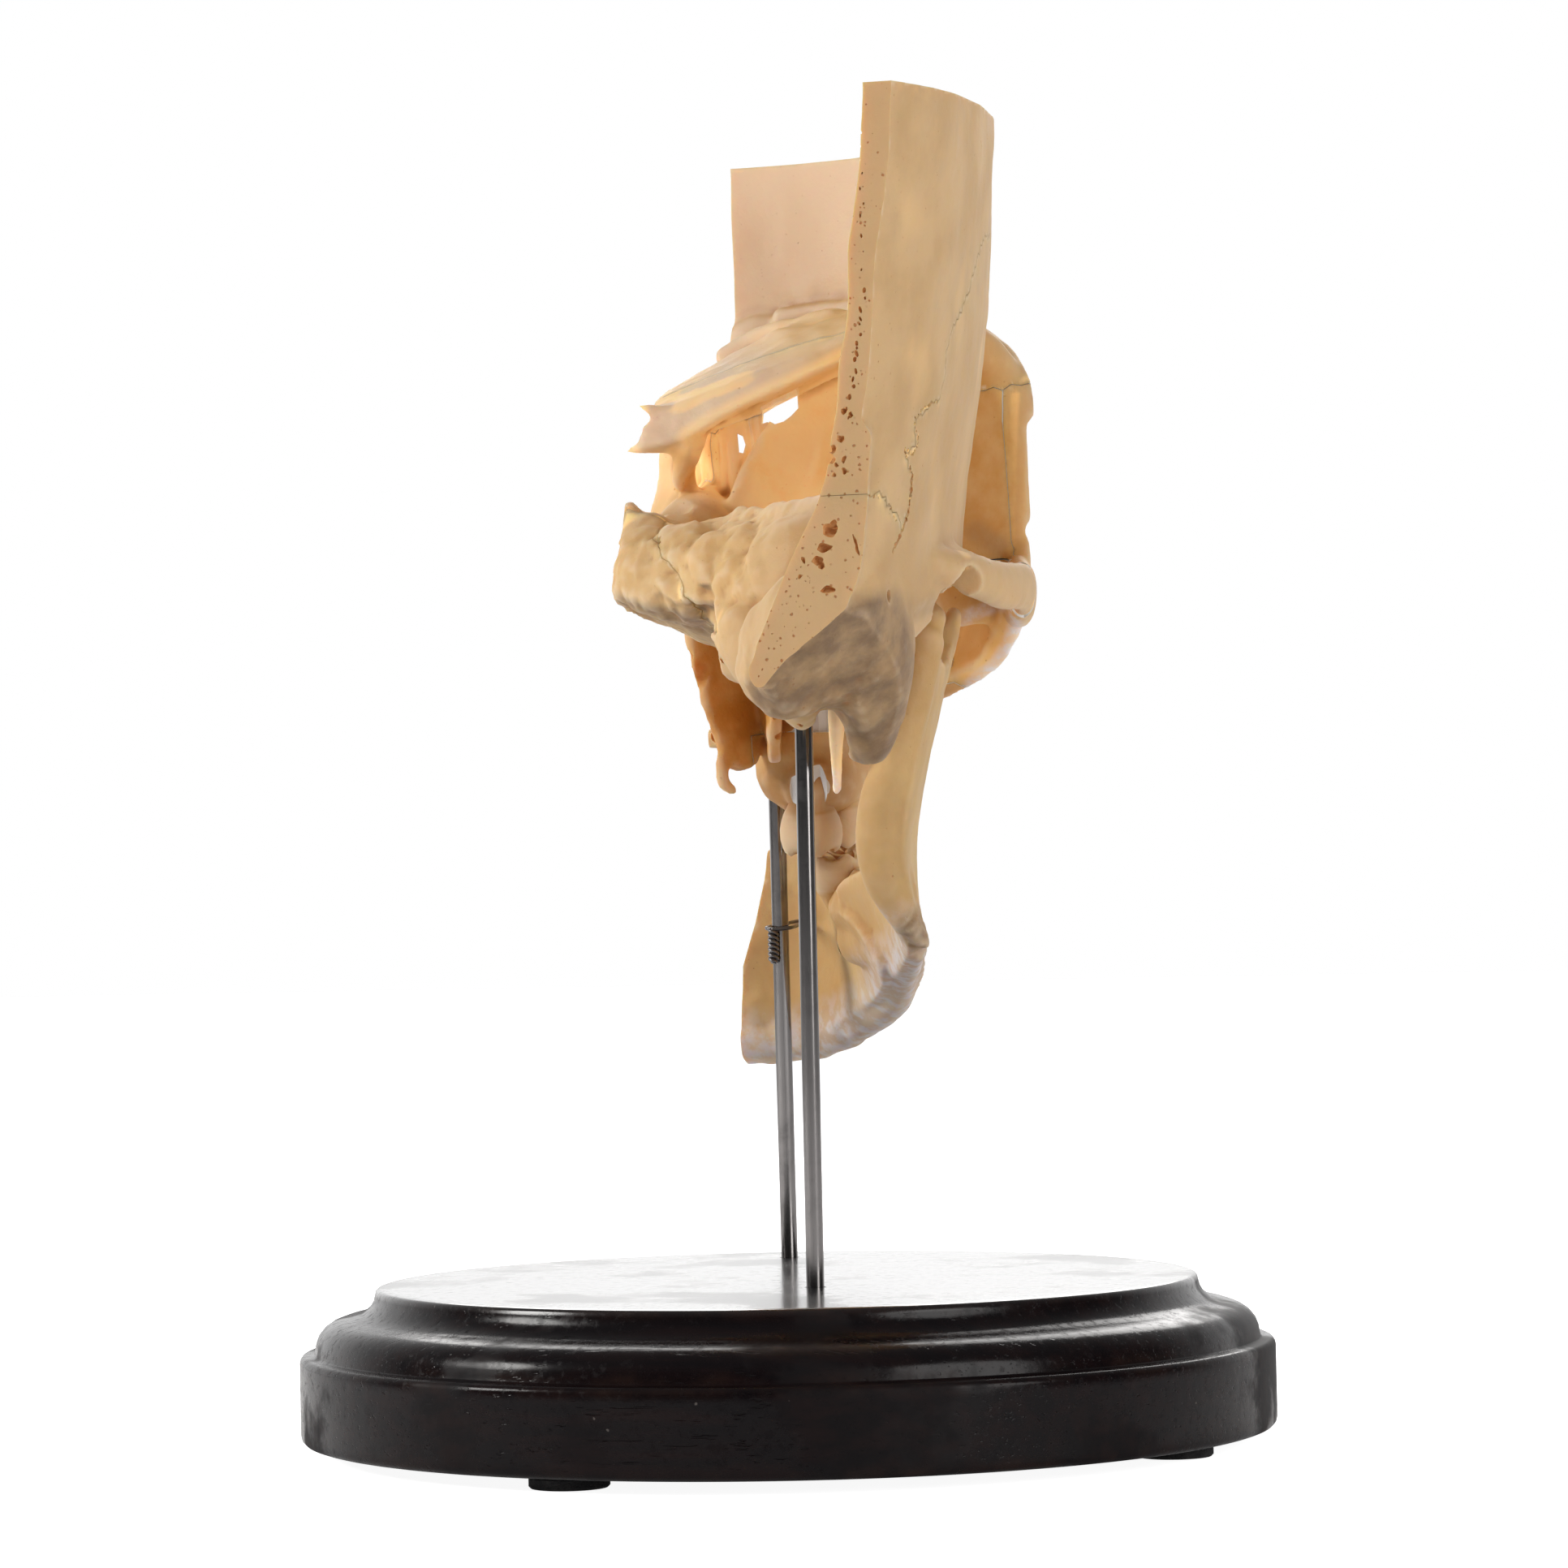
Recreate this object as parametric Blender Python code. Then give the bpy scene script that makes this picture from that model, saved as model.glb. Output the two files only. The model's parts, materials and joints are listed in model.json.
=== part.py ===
# Right half of a human skull on its turned wooden museum stand, life size, in metres with +Z up.
# The stand rests on Z = 0 with its axis on the origin, and the skull faces -Y with its right side to -X.
# Bone sizes are in millimetres in the skull's own frame, where x is to its right, y is forward and
# z is up, measured from the point midway between the two ear openings.
import math

import bmesh
import bpy
from mathutils import Matrix, Vector

MM = 0.001
GAP = 0.3  # clearance between neighbouring pieces

# Pose of the skull on its stand
SKULL_PLACE = (22.0, 18.3, 145.0)
NOSE_UP = math.radians(10)
FACING = math.radians(180)

# Where the skull is sawn
REAR_CUT = -46.0
TOP_CUT_REAR = 83.0
TOP_CUT_SLOPE = -0.112
# The cuts near the middle lean: distance across, height
MIDDLE_CUT = ((-1.5, -90), (-1.5, 35), (1.2, 90))
JAW_CUT = ((-5.3, -120), (-5.3, -92), (-4.4, -79), (-1.6, -71), (0.5, -63), (2.0, -52), (2.0, -40))

# Braincase outline at rising heights: height, half width, widest point, forehead reach
VAULT_LEVELS = (
    (-6, 56.0, -12, 88), (6, 57.0, -12, 90), (14, 58.0, -12, 93), (29, 61.0, -12, 97),
    (42, 63.5, -13, 97), (58, 65.3, -14, 96), (72, 67.3, -17, 95), (92, 68.4, -20, 92),
)
VAULT_REAR_LENGTH = 80.0
VAULT_BLUNTNESS = 2.25
SIDE_WALL = 4.2
FOREHEAD_WALL = 6.5
# Lower edge of the braincase shell: distance forward, height
SHELL_FOOT = ((-60, -4), (-30, -3), (20, -2), (44, 0), (52, 12), (60, 26), (70, 30), (100, 31))

# Teeth from the middle back: place across, place forward, width along the row, depth, crown height
UPPER_TEETH = (
    (4.3, 90.3, 8.4, 7.0, 10.5), (11.2, 88.2, 6.6, 6.2, 9.5), (16.6, 83.6, 7.4, 8.0, 10.5),
    (20.0, 77.2, 7.0, 9.2, 8.5), (22.0, 70.4, 6.8, 9.2, 8.0), (22.8, 62.2, 10.2, 11.0, 7.4),
    (21.8, 53.8, 9.6, 11.0, 7.4), (19.0, 45.0, 9.4, 11.0, 8.0),
)
LOWER_TEETH = (
    (2.9, 86.4, 5.2, 6.0, 9.0), (8.2, 84.7, 5.8, 6.2, 9.2), (13.4, 80.6, 6.8, 7.6, 10.4),
    (17.2, 74.6, 7.0, 7.6, 8.8), (19.8, 68.0, 7.2, 8.0, 8.2), (21.2, 59.0, 11.0, 10.2, 7.6),
    (21.0, 48.6, 10.4, 10.0, 7.2), (21.4, 39.0, 9.6, 9.4, 6.6),
)
BITE_HEIGHT = -53.0
BITE_GAP = 0.6
ROOT_DEPTH = 7.0

# Turned base: radius, height above its underside
BASE_PROFILE = (
    (70.0, 25.6), (70.2, 24.4), (70.5, 23.0), (72.2, 21.3), (76.7, 20.1), (79.2, 18.6),
    (80.2, 16.6), (80.6, 14.7), (82.4, 14.6), (83.0, 13.9), (83.0, 0.8), (82.2, 0.0),
)
BASE_SIDES = 48
FOOT_HEIGHT = 2.0
FOOT_RADIUS = 6.5
FOOT_CIRCLE = 72.0
FOOT_TURN = math.radians(-104)

# Steel rods: foot and top on the stand's own axes
ROD_RADIUS = 1.5
ROD_SINK = 9.0
FRONT_ROD = ((-10.5, 20.5), (-10.5, 20.6, 134.5))
REAR_ROD = ((13.4, -52.3), (13.4, -49.55, 123.2))

# Wire tie: a twisted tail beside the rear rod and two strands to the jaw
TIE_HEIGHT = 87.4
TIE_TAIL_LENGTH = 5.9
TIE_TURNS = 5.5
TIE_ROD_FORWARD = -50.6
TAIL_SIDE = 0.6
TAIL_BEHIND = 2.85
TAIL_RADIUS = 0.62
TAIL_CORE = 0.5
WIRE_RADIUS = 0.3
TIE_END = (13.3, -66.0, 88.9)

# Voxel and thinning of the fused bone
BONE_VOXEL = 1.3
SKULL_SHARE = 0.055
JAW_SHARE = 0.06


def clear_scene():
    for old in list(bpy.data.objects):
        bpy.data.objects.remove(old)


def keep(name, mesh):
    piece = bpy.data.objects.new(name, mesh)
    bpy.context.scene.collection.objects.link(piece)
    return piece


def from_bmesh(name, work, scale=MM):
    bmesh.ops.recalc_face_normals(work, faces=work.faces)
    bmesh.ops.scale(work, vec=(scale, scale, scale), verts=work.verts)
    mesh = bpy.data.meshes.new(name)
    work.to_mesh(mesh)
    work.free()
    return keep(name, mesh)


def drop(pieces):
    for piece in pieces:
        bpy.data.objects.remove(piece)


def settle(piece):
    # bakes a piece's modifiers into its mesh
    graph = bpy.context.evaluated_depsgraph_get()
    mesh = bpy.data.meshes.new_from_object(piece.evaluated_get(graph), depsgraph=graph)
    piece.modifiers.clear()
    piece.data = mesh
    return piece


def blend_rows(rows, steps):
    # a smooth run through rows of numbers, each number on its own Catmull-Rom curve
    padded = [rows[0], *rows, rows[-1]]
    run = []
    for before, start, end, after in zip(padded, padded[1:], padded[2:], padded[3:]):
        for step in range(steps):
            t = step / steps
            run.append([
                0.5 * (2 * q + (r - p) * t + (2 * p - 5 * q + 4 * r - s) * t ** 2
                       + (3 * q - p - 3 * r + s) * t ** 3)
                for p, q, r, s in zip(before, start, end, after)
            ])
    run.append(list(rows[-1]))
    return run


def between(table, place):
    # a value read off a table of place and value by straight lines
    for (low, first), (high, second) in zip(table, table[1:]):
        if place <= high:
            share = max(0.0, (place - low) / (high - low))
            return first + (second - first) * share
    return table[-1][1]


def skin(work, rings):
    # joins rings of equal count, whose first and last are single points
    loops = [[work.verts.new(point) for point in ring] for ring in rings]
    for near, far in zip(loops, loops[1:]):
        count = max(len(near), len(far))
        for i in range(count):
            j = (i + 1) % count
            corners = [near[i % len(near)], near[j % len(near)], far[j % len(far)], far[i % len(far)]]
            work.faces.new(dict.fromkeys(corners))


def limb(stations, across=(1, 0, 0), sides=14, steps=4):
    # a rounded bar through stations of x, y, z, half width along across and half height
    rows = blend_rows(stations, steps)
    centres = [Vector(row[:3]) for row in rows]
    rings = []
    for i, row in enumerate(rows):
        run = (centres[min(i + 1, len(rows) - 1)] - centres[max(i - 1, 0)]).normalized()
        side = Vector(across)
        side = (side - run * side.dot(run)).normalized()
        up = run.cross(side)
        caps = [(0.0, 1.0)]
        if i in (0, len(rows) - 1):
            end = 1 if i else -1
            tip = end * 0.8 * min(row[3], row[4])
            caps = [(tip * math.sin(a), math.cos(a)) for a in (0.0, 0.55, 1.1)] + [(tip, 0.0)]
            caps = caps if i else caps[::-1]
        for shift, size in caps:
            middle = centres[i] + run * shift
            count = sides if size else 1
            rings.append([
                middle + side * (row[3] * size * math.cos(math.tau * k / sides))
                + up * (row[4] * size * math.sin(math.tau * k / sides)) for k in range(count)
            ])
    work = bmesh.new()
    skin(work, rings)
    return from_bmesh("limb", work)


def blob(centre, radii, turn=(0, 0, 0)):
    work = bmesh.new()
    spin = Matrix.Identity(4)
    for angle, axis in zip(turn, "XYZ"):
        spin = Matrix.Rotation(math.radians(angle), 4, axis) @ spin
    place = Matrix.Translation(centre) @ spin @ Matrix.Diagonal((*radii, 1))
    bmesh.ops.create_icosphere(work, subdivisions=3, radius=1, matrix=place)
    return from_bmesh("blob", work)


def sheet(rows, thickness):
    # a bent plate through a grid of points, as thick as the bone there
    work = bmesh.new()
    grid = [[work.verts.new(point) for point in row] for row in rows]
    for near, far in zip(grid, grid[1:]):
        for i in range(len(near) - 1):
            work.faces.new((near[i], near[i + 1], far[i + 1], far[i]))
    plate = from_bmesh("sheet", work)
    curve = plate.modifiers.new("Curve", "SUBSURF")
    curve.levels = curve.render_levels = 2
    wall = plate.modifiers.new("Wall", "SOLIDIFY")
    wall.thickness = thickness * MM
    wall.offset = 0
    return settle(plate)


def grown(outline, margin):
    # the outline with every side moved outwards by margin
    turn = sum(a[0] * b[1] - b[0] * a[1] for a, b in zip(outline, outline[1:] + outline[:1]))
    sign = 1 if turn > 0 else -1
    moved = []
    for i, point in enumerate(outline):
        before, after = outline[i - 1], outline[(i + 1) % len(outline)]
        first = Vector(point) - Vector(before)
        second = Vector(after) - Vector(point)
        out_a = Vector((first.y, -first.x)).normalized() * sign
        out_b = Vector((second.y, -second.x)).normalized() * sign
        bend = (out_a + out_b).normalized()
        moved.append(tuple(Vector(point) + bend * (margin / max(0.35, bend.dot(out_a)))))
    return moved


def prism(axis, outline, low, high, margin=0.0):
    # a block with this outline seen along the axis, from low to high on it
    outline = grown(list(outline), margin) if margin else list(outline)
    low, high = low - margin, high + margin
    order = {"x": (2, 0, 1), "y": (0, 2, 1), "z": (0, 1, 2)}[axis]
    work = bmesh.new()
    ends = []
    for level in (low, high):
        corners = [(*point, level) for point in outline]
        ends.append([work.verts.new([corner[k] for k in order]) for corner in corners])
    work.faces.new(ends[0])
    work.faces.new(ends[1])
    for i in range(len(outline)):
        j = (i + 1) % len(outline)
        work.faces.new((ends[0][i], ends[0][j], ends[1][j], ends[1][i]))
    return from_bmesh("block", work)


def joined(name, pieces):
    # one object holding the meshes of all the pieces, which still overlap
    work = bmesh.new()
    for piece in pieces:
        work.from_mesh(piece.data)
    drop(pieces)
    return from_bmesh(name, work, scale=1)


def fused(name, pieces, relax=2):
    # closed masses melted into one surface, as bone grows
    body = joined(name, pieces)
    melt = body.modifiers.new("Melt", "REMESH")
    melt.mode = "VOXEL"
    melt.voxel_size = BONE_VOXEL * MM
    ease = body.modifiers.new("Ease", "SMOOTH")
    ease.factor = 0.5
    ease.iterations = relax
    return settle(body)


def thinned(body, share):
    fewer = body.modifiers.new("Fewer", "DECIMATE")
    fewer.ratio = share
    return settle(body)


def combined(body, others, operation, solver="EXACT"):
    # one Boolean of the body with a collection of closed pieces
    group = bpy.data.collections.new("others")
    bpy.context.scene.collection.children.link(group)
    for other in others:
        bpy.context.scene.collection.objects.unlink(other)
        group.objects.link(other)
    cut = body.modifiers.new("Join", "BOOLEAN")
    cut.operation = operation
    cut.solver = solver
    cut.operand_type = "COLLECTION"
    cut.collection = group
    settle(body)
    drop(others)
    bpy.data.collections.remove(group)
    return body


def copy_of(body, name):
    return keep(name, body.data.copy())


def largest(body):
    # keeps only the largest closed surface of a body
    work = bmesh.new()
    work.from_mesh(body.data)
    left = set(work.faces)
    islands = []
    while left:
        seed = left.pop()
        island, edge = {seed}, [seed]
        while edge:
            for side in edge.pop().edges:
                for face in side.link_faces:
                    if face in left:
                        left.remove(face)
                        island.add(face)
                        edge.append(face)
        islands.append(island)
    islands.sort(key=lambda faces: sum(face.calc_area() for face in faces))
    for island in islands[:-1]:
        bmesh.ops.delete(work, geom=list(island), context="FACES")
    work.to_mesh(body.data)
    work.free()
    return body


def carve(stock, name, blocks):
    # takes the bone inside the blocks out of the stock, with a clear gap left round it
    bone = copy_of(stock, name)
    combined(bone, [joined_union([prism(*block) for block in blocks])], "INTERSECT")
    rest = joined_union([prism(*block, GAP) for block in blocks])
    combined(stock, [rest], "DIFFERENCE")
    return largest(bone)


def joined_union(blocks):
    first, *others = blocks
    return combined(first, others, "UNION") if others else first


def finish(piece, name, colour, roughness, metallic=0.0, parent=None):
    piece.name = piece.data.name = name
    material = bpy.data.materials.new(name)
    material.use_nodes = True
    shader = material.node_tree.nodes["Principled BSDF"]
    shader.inputs["Base Color"].default_value = (*colour, 1)
    shader.inputs["Roughness"].default_value = roughness
    shader.inputs["Metallic"].default_value = metallic
    piece.data.materials.clear()
    piece.data.materials.append(material)
    piece.data.shade_smooth()
    piece.data.set_sharp_from_angle(angle=math.radians(40))
    piece.parent = parent
    return piece


# Braincase shell

def vault_point(angle, height, wall):
    # a point on the braincase outline, wall inside its outer face
    half = between([(row[0], row[1]) for row in VAULT_LEVELS], height)
    widest = between([(row[0], row[2]) for row in VAULT_LEVELS], height)
    reach = between([(row[0], row[3]) for row in VAULT_LEVELS], height)
    forward = max(0.0, math.sin(angle))
    inset = SIDE_WALL + (FOREHEAD_WALL - SIDE_WALL) * forward ** 2
    half -= inset * wall
    length = reach - widest if angle > 0 else VAULT_REAR_LENGTH
    length -= inset * wall
    power = 2 / (VAULT_BLUNTNESS if angle > 0 else 2.0)
    across, along = math.cos(angle), math.sin(angle)
    x = math.copysign(abs(across) ** power, across) * half
    y = widest + math.copysign(abs(along) ** power, along) * length
    return x, y, height


def vault_shell():
    # the sawn wall of the braincase from behind the ear round to the middle of the forehead
    columns = [math.radians(a) for a in range(-42, 97, 4)]
    top = 90.0
    levels = 14
    work = bmesh.new()
    faces = []
    for wall in (0, 1):
        grid = []
        for angle in columns:
            foot = between(SHELL_FOOT, vault_point(angle, 20, 0)[1])
            heights = [foot + (top - foot) * k / levels for k in range(levels + 1)]
            grid.append([work.verts.new(vault_point(angle, height, wall)) for height in heights])
        faces.append(grid)
        for near, far in zip(grid, grid[1:]):
            for k in range(levels):
                work.faces.new((near[k], near[k + 1], far[k + 1], far[k]))
    outer, inner = faces
    for i in range(len(columns) - 1):
        for k in (0, levels):
            work.faces.new((outer[i][k], outer[i + 1][k], inner[i + 1][k], inner[i][k]))
    for k in range(levels):
        for i in (0, len(columns) - 1):
            work.faces.new((outer[i][k], outer[i][k + 1], inner[i][k + 1], inner[i][k]))
    return [from_bmesh("shell", work)]


# Masses of each bone

def frontal_masses():
    brow = limb((
        (55.5, 63, 27, 3.4, 4.5), (52, 70, 32, 4, 4.5), (41, 79, 35, 4.5, 4.5), (27, 86, 35, 4.5, 4.5),
        (12, 91, 33, 4.5, 5.5), (-4, 92.5, 32, 4.5, 6),
    ), across=(0, 1, 0))
    roof = sheet((
        ((-5, 36, 21), (8, 37, 24), (21, 38, 29), (34, 40, 34), (48, 43, 40)),
        ((-3, 50, 25), (9, 50, 33), (21, 52, 39), (34, 53, 42), (49, 54, 40)),
        ((-2, 68, 26), (9, 67, 37), (22, 68, 42), (36, 68, 42), (50, 66, 36)),
        ((-2, 88, 29), (12, 87, 34), (26, 84, 37), (40, 77, 36), (52, 69, 32)),
    ), 2.6)
    keel = limb(((-2, 86, 31, 3, 5), (-2, 76, 29, 2.5, 4), (-2, 64, 27, 2.5, 3)))
    root = blob((4, 89, 28), (9, 5, 6))
    return [brow, roof, keel, root, blob((5, 89.5, 36), (10, 5.5, 8))]


def temporal_masses():
    petrous = limb((
        (50, -16, 3, 13, 12), (38, -6, 0.5, 12.5, 13), (27, 5, -0.5, 11.5, 12), (16, 15, 0, 10.5, 10),
        (8, 20, 1, 8, 7),
    ), across=(0, 0, 1))
    ridge = limb(((46, -12, 16, 2.5, 4), (34, -3, 11, 2.4, 4), (22, 8, 9, 2.4, 4), (12, 17, 8, 2, 3)))
    sawn_edge = limb((
        (54.5, -48, 28, 2.8, 8), (52, -47, 18, 4, 9), (48.5, -46, 8, 5.5, 9), (43, -45, -1, 5, 8),
        (37, -44, -9, 3, 6),
    ))
    mastoid = limb((
        (50.5, -32, 6, 7, 16), (50, -24, -6, 7.5, 12), (48, -18, -16, 6.5, 8.5), (45.5, -14, -25, 4, 5),
    ))
    beside = limb((
        (42, -42, -2, 6, 10), (38, -32, -8, 9, 10), (36, -23, -13, 7, 7), (35.5, -19, -19.5, 2.6, 3),
    ))
    filling = limb(((46, -38, 0, 5, 11), (44, -28, -8, 6, 9), (42, -20, -14, 5, 5)))
    floor = sheet((
        ((12, 24, -4), (28, 28, -6), (42, 32, -5), (54, 38, 1)),
        ((20, 14, -4), (32, 14, -5), (44, 16, -2), (57, 18, 2)),
        ((30, 4, -2), (38, 2, -3), (48, 2, 1), (58, 2, 2)),
    ), 4.0)
    arch = limb((
        (55, -8, 4, 3, 3), (60, 4, 0, 3.2, 4), (62.5, 16, -4, 2.6, 4.2), (62.5, 30, -6, 2.2, 4.4),
        (60.5, 42, -8, 2.4, 5), (57.5, 52, -9, 3.2, 7),
    ))
    joint = limb(((46, 22, -2, 5.5, 2.8), (59, 21, -2, 5.5, 2.8)), across=(0, 1, 0))
    styloid = limb(((39, -3, -9, 3.2, 3.2), (36, 3, -21, 2.0, 2.0), (34, 9, -37, 1.4, 1.4)))
    chunk = limb(((22, 1, -7, 6, 7), (26, -8, -9, 6, 8), (32, -18, -12, 6, 7)))
    return [petrous, ridge, sawn_edge, mastoid, beside, filling, floor, arch, joint, styloid, chunk]


def sphenoid_masses():
    body = limb(((2, 16, 0, 7, 9), (3, 26, 1, 8, 9.5), (4, 38, 3, 8, 10), (4, 48, 5, 6, 9)))
    clivus = limb(((4, 14, -4, 8, 7), (2, 18, 3, 7, 6), (-0.5, 20, 9, 4, 3)))
    spine = limb(((-2, 20, 9, 2.4, 2.4), (-3, 20, 13, 1.1, 1.1)))
    edge = limb((
        (44, 42, 39, 2.2, 2.2), (32, 39, 35, 2.2, 2.4), (20, 37, 31, 2.6, 2.6), (10, 36, 28, 3.2, 3.4),
        (3, 37, 25, 4, 4), (-2, 38, 24.5, 2.6, 3.4),
    ), across=(0, 1, 0))
    strut = limb(((3, 39, 22, 6, 5), (6, 38, 13, 6, 5), (6, 38, 4, 7, 6)))
    wing = sheet((
        ((8, 34, -2), (24, 33, -6), (42, 36, -4), (55, 40, 2)),
        ((9, 37, 8), (22, 41, 8), (38, 45, 12), (54, 44, 16)),
        ((9, 40, 19), (20, 42, 28.5), (34, 44, 34), (53, 47, 39)),
    ), 3.0)
    orbit_side = sheet((
        ((27, 43, 29), (40, 52, 34), (55, 62, 30)),
        ((23, 42, 14), (40, 52, 14), (56, 61, 14)),
        ((22, 40, 0), (38, 52, -2), (55, 62, -3)),
    ), 3.0)
    outer_plate = sheet((
        ((12, 44, -5), (17, 36, -4), (22, 28, -5)),
        ((12, 45, -20), (15, 38, -20), (18, 31, -21)),
        ((13, 45, -35), (15, 39, -36), (16, 34, -35)),
    ), 2.4)
    inner_plate = sheet((
        ((10, 45, -5), (5, 39, -5), (1, 32, -8)),
        ((10, 46, -20), (6, 40, -20), (3, 34, -20)),
        ((11, 46, -37), (8, 40, -37), (6, 36, -36)),
    ), 2.4)
    hook = limb(((6, 36, -34, 1.3, 1.6), (6, 35.5, -38, 1.2, 1.2), (7.5, 37, -40, 1.0, 1.0)))
    root = limb(((6, 40, -2, 7, 8), (13, 40, -8, 7, 7)))
    return [body, clivus, spine, edge, strut, wing, orbit_side, outer_plate, inner_plate, hook, root]


def zygomatic_masses():
    post = sheet((
        ((55, 67, 29), (56.5, 62, 29), (54, 57, 30)),
        ((55, 65, 16), (57, 60, 16), (52, 54, 16)),
        ((55, 64, 3), (57, 58, 3), (53, 52, 3)),
    ), 4.0)
    plate = sheet((
        ((57.5, 50, -3), (57, 60, 3), (49, 68, -1), (37, 74, -2)),
        ((58.5, 50, -9), (56.5, 59, -10), (49, 67, -12), (37, 73, -14)),
        ((57, 52, -15), (54.5, 58, -20), (46, 64, -22), (36, 68, -25)),
        ((55, 54, -18), (51, 58, -26), (43, 62, -27), (35, 64, -30)),
    ), 6.0)
    rim = limb(((54.5, 63, 3, 3, 3), (47, 69, 0, 3.2, 3.2), (37, 75, -1, 3.2, 3.2), (25, 80, 0, 3, 3)))
    return [post, plate, rim]


def maxilla_masses():
    bulk = limb(((22, 50, -20, 9, 18), (24, 60, -20, 11, 18), (25, 70, -19, 10, 17), (20, 77, -20, 6, 16)))
    face = sheet((
        ((10, 85, -3), (18, 81, -3), (28, 77, -3), (38, 72, -3)),
        ((11, 86, -18), (18, 81, -18), (27, 76, -18), (38, 69, -16)),
        ((6, 89, -29), (15, 84, -29), (22, 77, -29), (29, 66, -28)),
        ((4, 90, -40), (13, 86, -40), (20.5, 78, -40), (24, 64, -40)),
    ), 5.0)
    tuber = blob((17, 50, -37.5), (9, 6.5, 9))
    row = limb((
        (19.3, 44.8, -40.5, 5.4, 5), (22, 54, -41, 5.6, 6), (22.6, 63.5, -41, 5.4, 6),
        (20.6, 74, -40.5, 5.0, 6.5), (15.5, 82.4, -39, 4.6, 7.5), (8, 87.4, -38, 4.2, 7.5),
        (-4, 89.2, -38, 4.0, 7.5),
    ))
    palate = sheet((
        ((-5, 54, -33), (5, 52, -33), (16, 45, -36)),
        ((-5, 64, -33), (7, 64, -33), (18, 64, -37)),
        ((-5, 86, -33), (5, 85, -33), (12, 82, -36)),
    ), 3.6)
    front_spine = limb(((-2, 88, -30, 3, 3), (-1, 94, -27, 1.6, 1.6)))
    side_post = limb(((18, 80, -12, 4.5, 8), (13, 84, 2, 3.4, 7), (10, 87, 14, 3, 6), (8, 88, 28, 3.4, 5)))
    nasal = sheet((
        ((-5, 91, 29), (2, 92, 29), (8, 88, 28)),
        ((-5, 95.5, 18), (2, 96, 18), (9, 90, 17)),
        ((-5, 99.5, 8), (3, 99.5, 7), (10.5, 92, 6)),
    ), 3.2)
    orbit_inner = sheet((
        ((10, 42, 29), (10, 60, 33), (10, 86, 31)),
        ((11, 42, 13), (11.5, 60, 13), (11, 85, 13)),
        ((13, 42, -4), (14, 60, -4), (14, 82, -3)),
    ), 3.4)
    upper_curl = limb(((6, 48, 4, 4, 2.2), (5, 62, 3, 4.5, 2.4), (5, 76, 4, 4, 2.2)), across=(0.5, 0, 1))
    lower_curl = limb(((7, 50, -16, 4, 2.2), (6, 64, -17, 5, 2.6), (7, 78, -16, 4.5, 2.2)), across=(0.4, 0, 1))
    web = sheet((((11, 44, 2), (12, 52, 2)), ((11, 44, -16), (13, 52, -16)), ((11, 45, -36), (13, 54, -36))), 3.0)
    curl_roots = [
        limb(((6, 62, 3, 8, 1.8), (13, 62, 6, 8, 1.8)), across=(0, 1, 0)),
        limb(((6, 64, -16, 10, 1.8), (14, 64, -12, 10, 1.8)), across=(0, 1, 0)),
    ]
    return [bulk, face, tuber, row, palate, front_spine, side_post, nasal, orbit_inner, upper_curl,
            lower_curl, web, *curl_roots]


def skull_hollows():
    # the eye socket, ear opening and the notches that stay open
    socket = limb((
        (34, 98, 15, 18, 15.5), (33.5, 80, 15.5, 18, 15.5), (32, 70, 16, 17, 15.5), (28, 60, 17, 12.5, 12.5),
        (24, 55, 18, 8, 8.5), (20, 50.5, 19, 4, 4.5),
    ))
    socket_side = limb(((46, 90, 14, 7, 12), (46, 72, 14, 6, 12), (44, 65, 14, 5, 11)))
    fissure = limb((
        (21.4, 36, 28, 2.6, 2.0), (19.8, 42, 27, 3.1, 2.4), (15.5, 58, 24.6, 3.2, 2.6), (11.2, 74, 22.2, 3.2, 2.6),
        (5, 97, 18.8, 3.2, 2.6),
    ))
    ear = limb(((66, -1, -2, 3.6, 4.4), (46, 1, -2, 3.2, 3.8)), across=(0, 1, 0))
    notch = limb(((42.5, -38, -27, 1.8, 5), (41.4, -22, -24, 1.8, 5), (41, -10, -23, 1.8, 5)))
    saddle = blob((0, 29, 13), (6, 5, 5))
    return [socket, socket_side, fissure, ear, notch, saddle]


def sawn_stock():
    masses = [
        *vault_shell(), *frontal_masses(), *temporal_masses(), *sphenoid_masses(),
        *zygomatic_masses(), *maxilla_masses(),
    ]
    stock = fused("skull", masses)
    stock = combined(stock, [fused("hollows", skull_hollows())], "DIFFERENCE", "MANIFOLD")
    stock = thinned(fused("skull", [stock]), SKULL_SHARE)
    far = 160
    top_front = TOP_CUT_REAR + TOP_CUT_SLOPE * (far - REAR_CUT)
    top_back = TOP_CUT_REAR - TOP_CUT_SLOPE * far
    blocks = [
        prism("z", ((-far, -far), (far, -far), (far, REAR_CUT), (-far, REAR_CUT)), -far, far),
        prism("x", ((-far - 46, top_back), (far, top_front), (far, far), (-far - 46, far)), -far, far),
        prism("y", (*MIDDLE_CUT, (-far, 90), (-far, -90)), 50, far),
    ]
    for block in blocks:
        combined(stock, [block], "DIFFERENCE")
    return largest(stock)


# Bones, parted along their sutures. Each region is a list of blocks: axis, outline, low, high.

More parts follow.
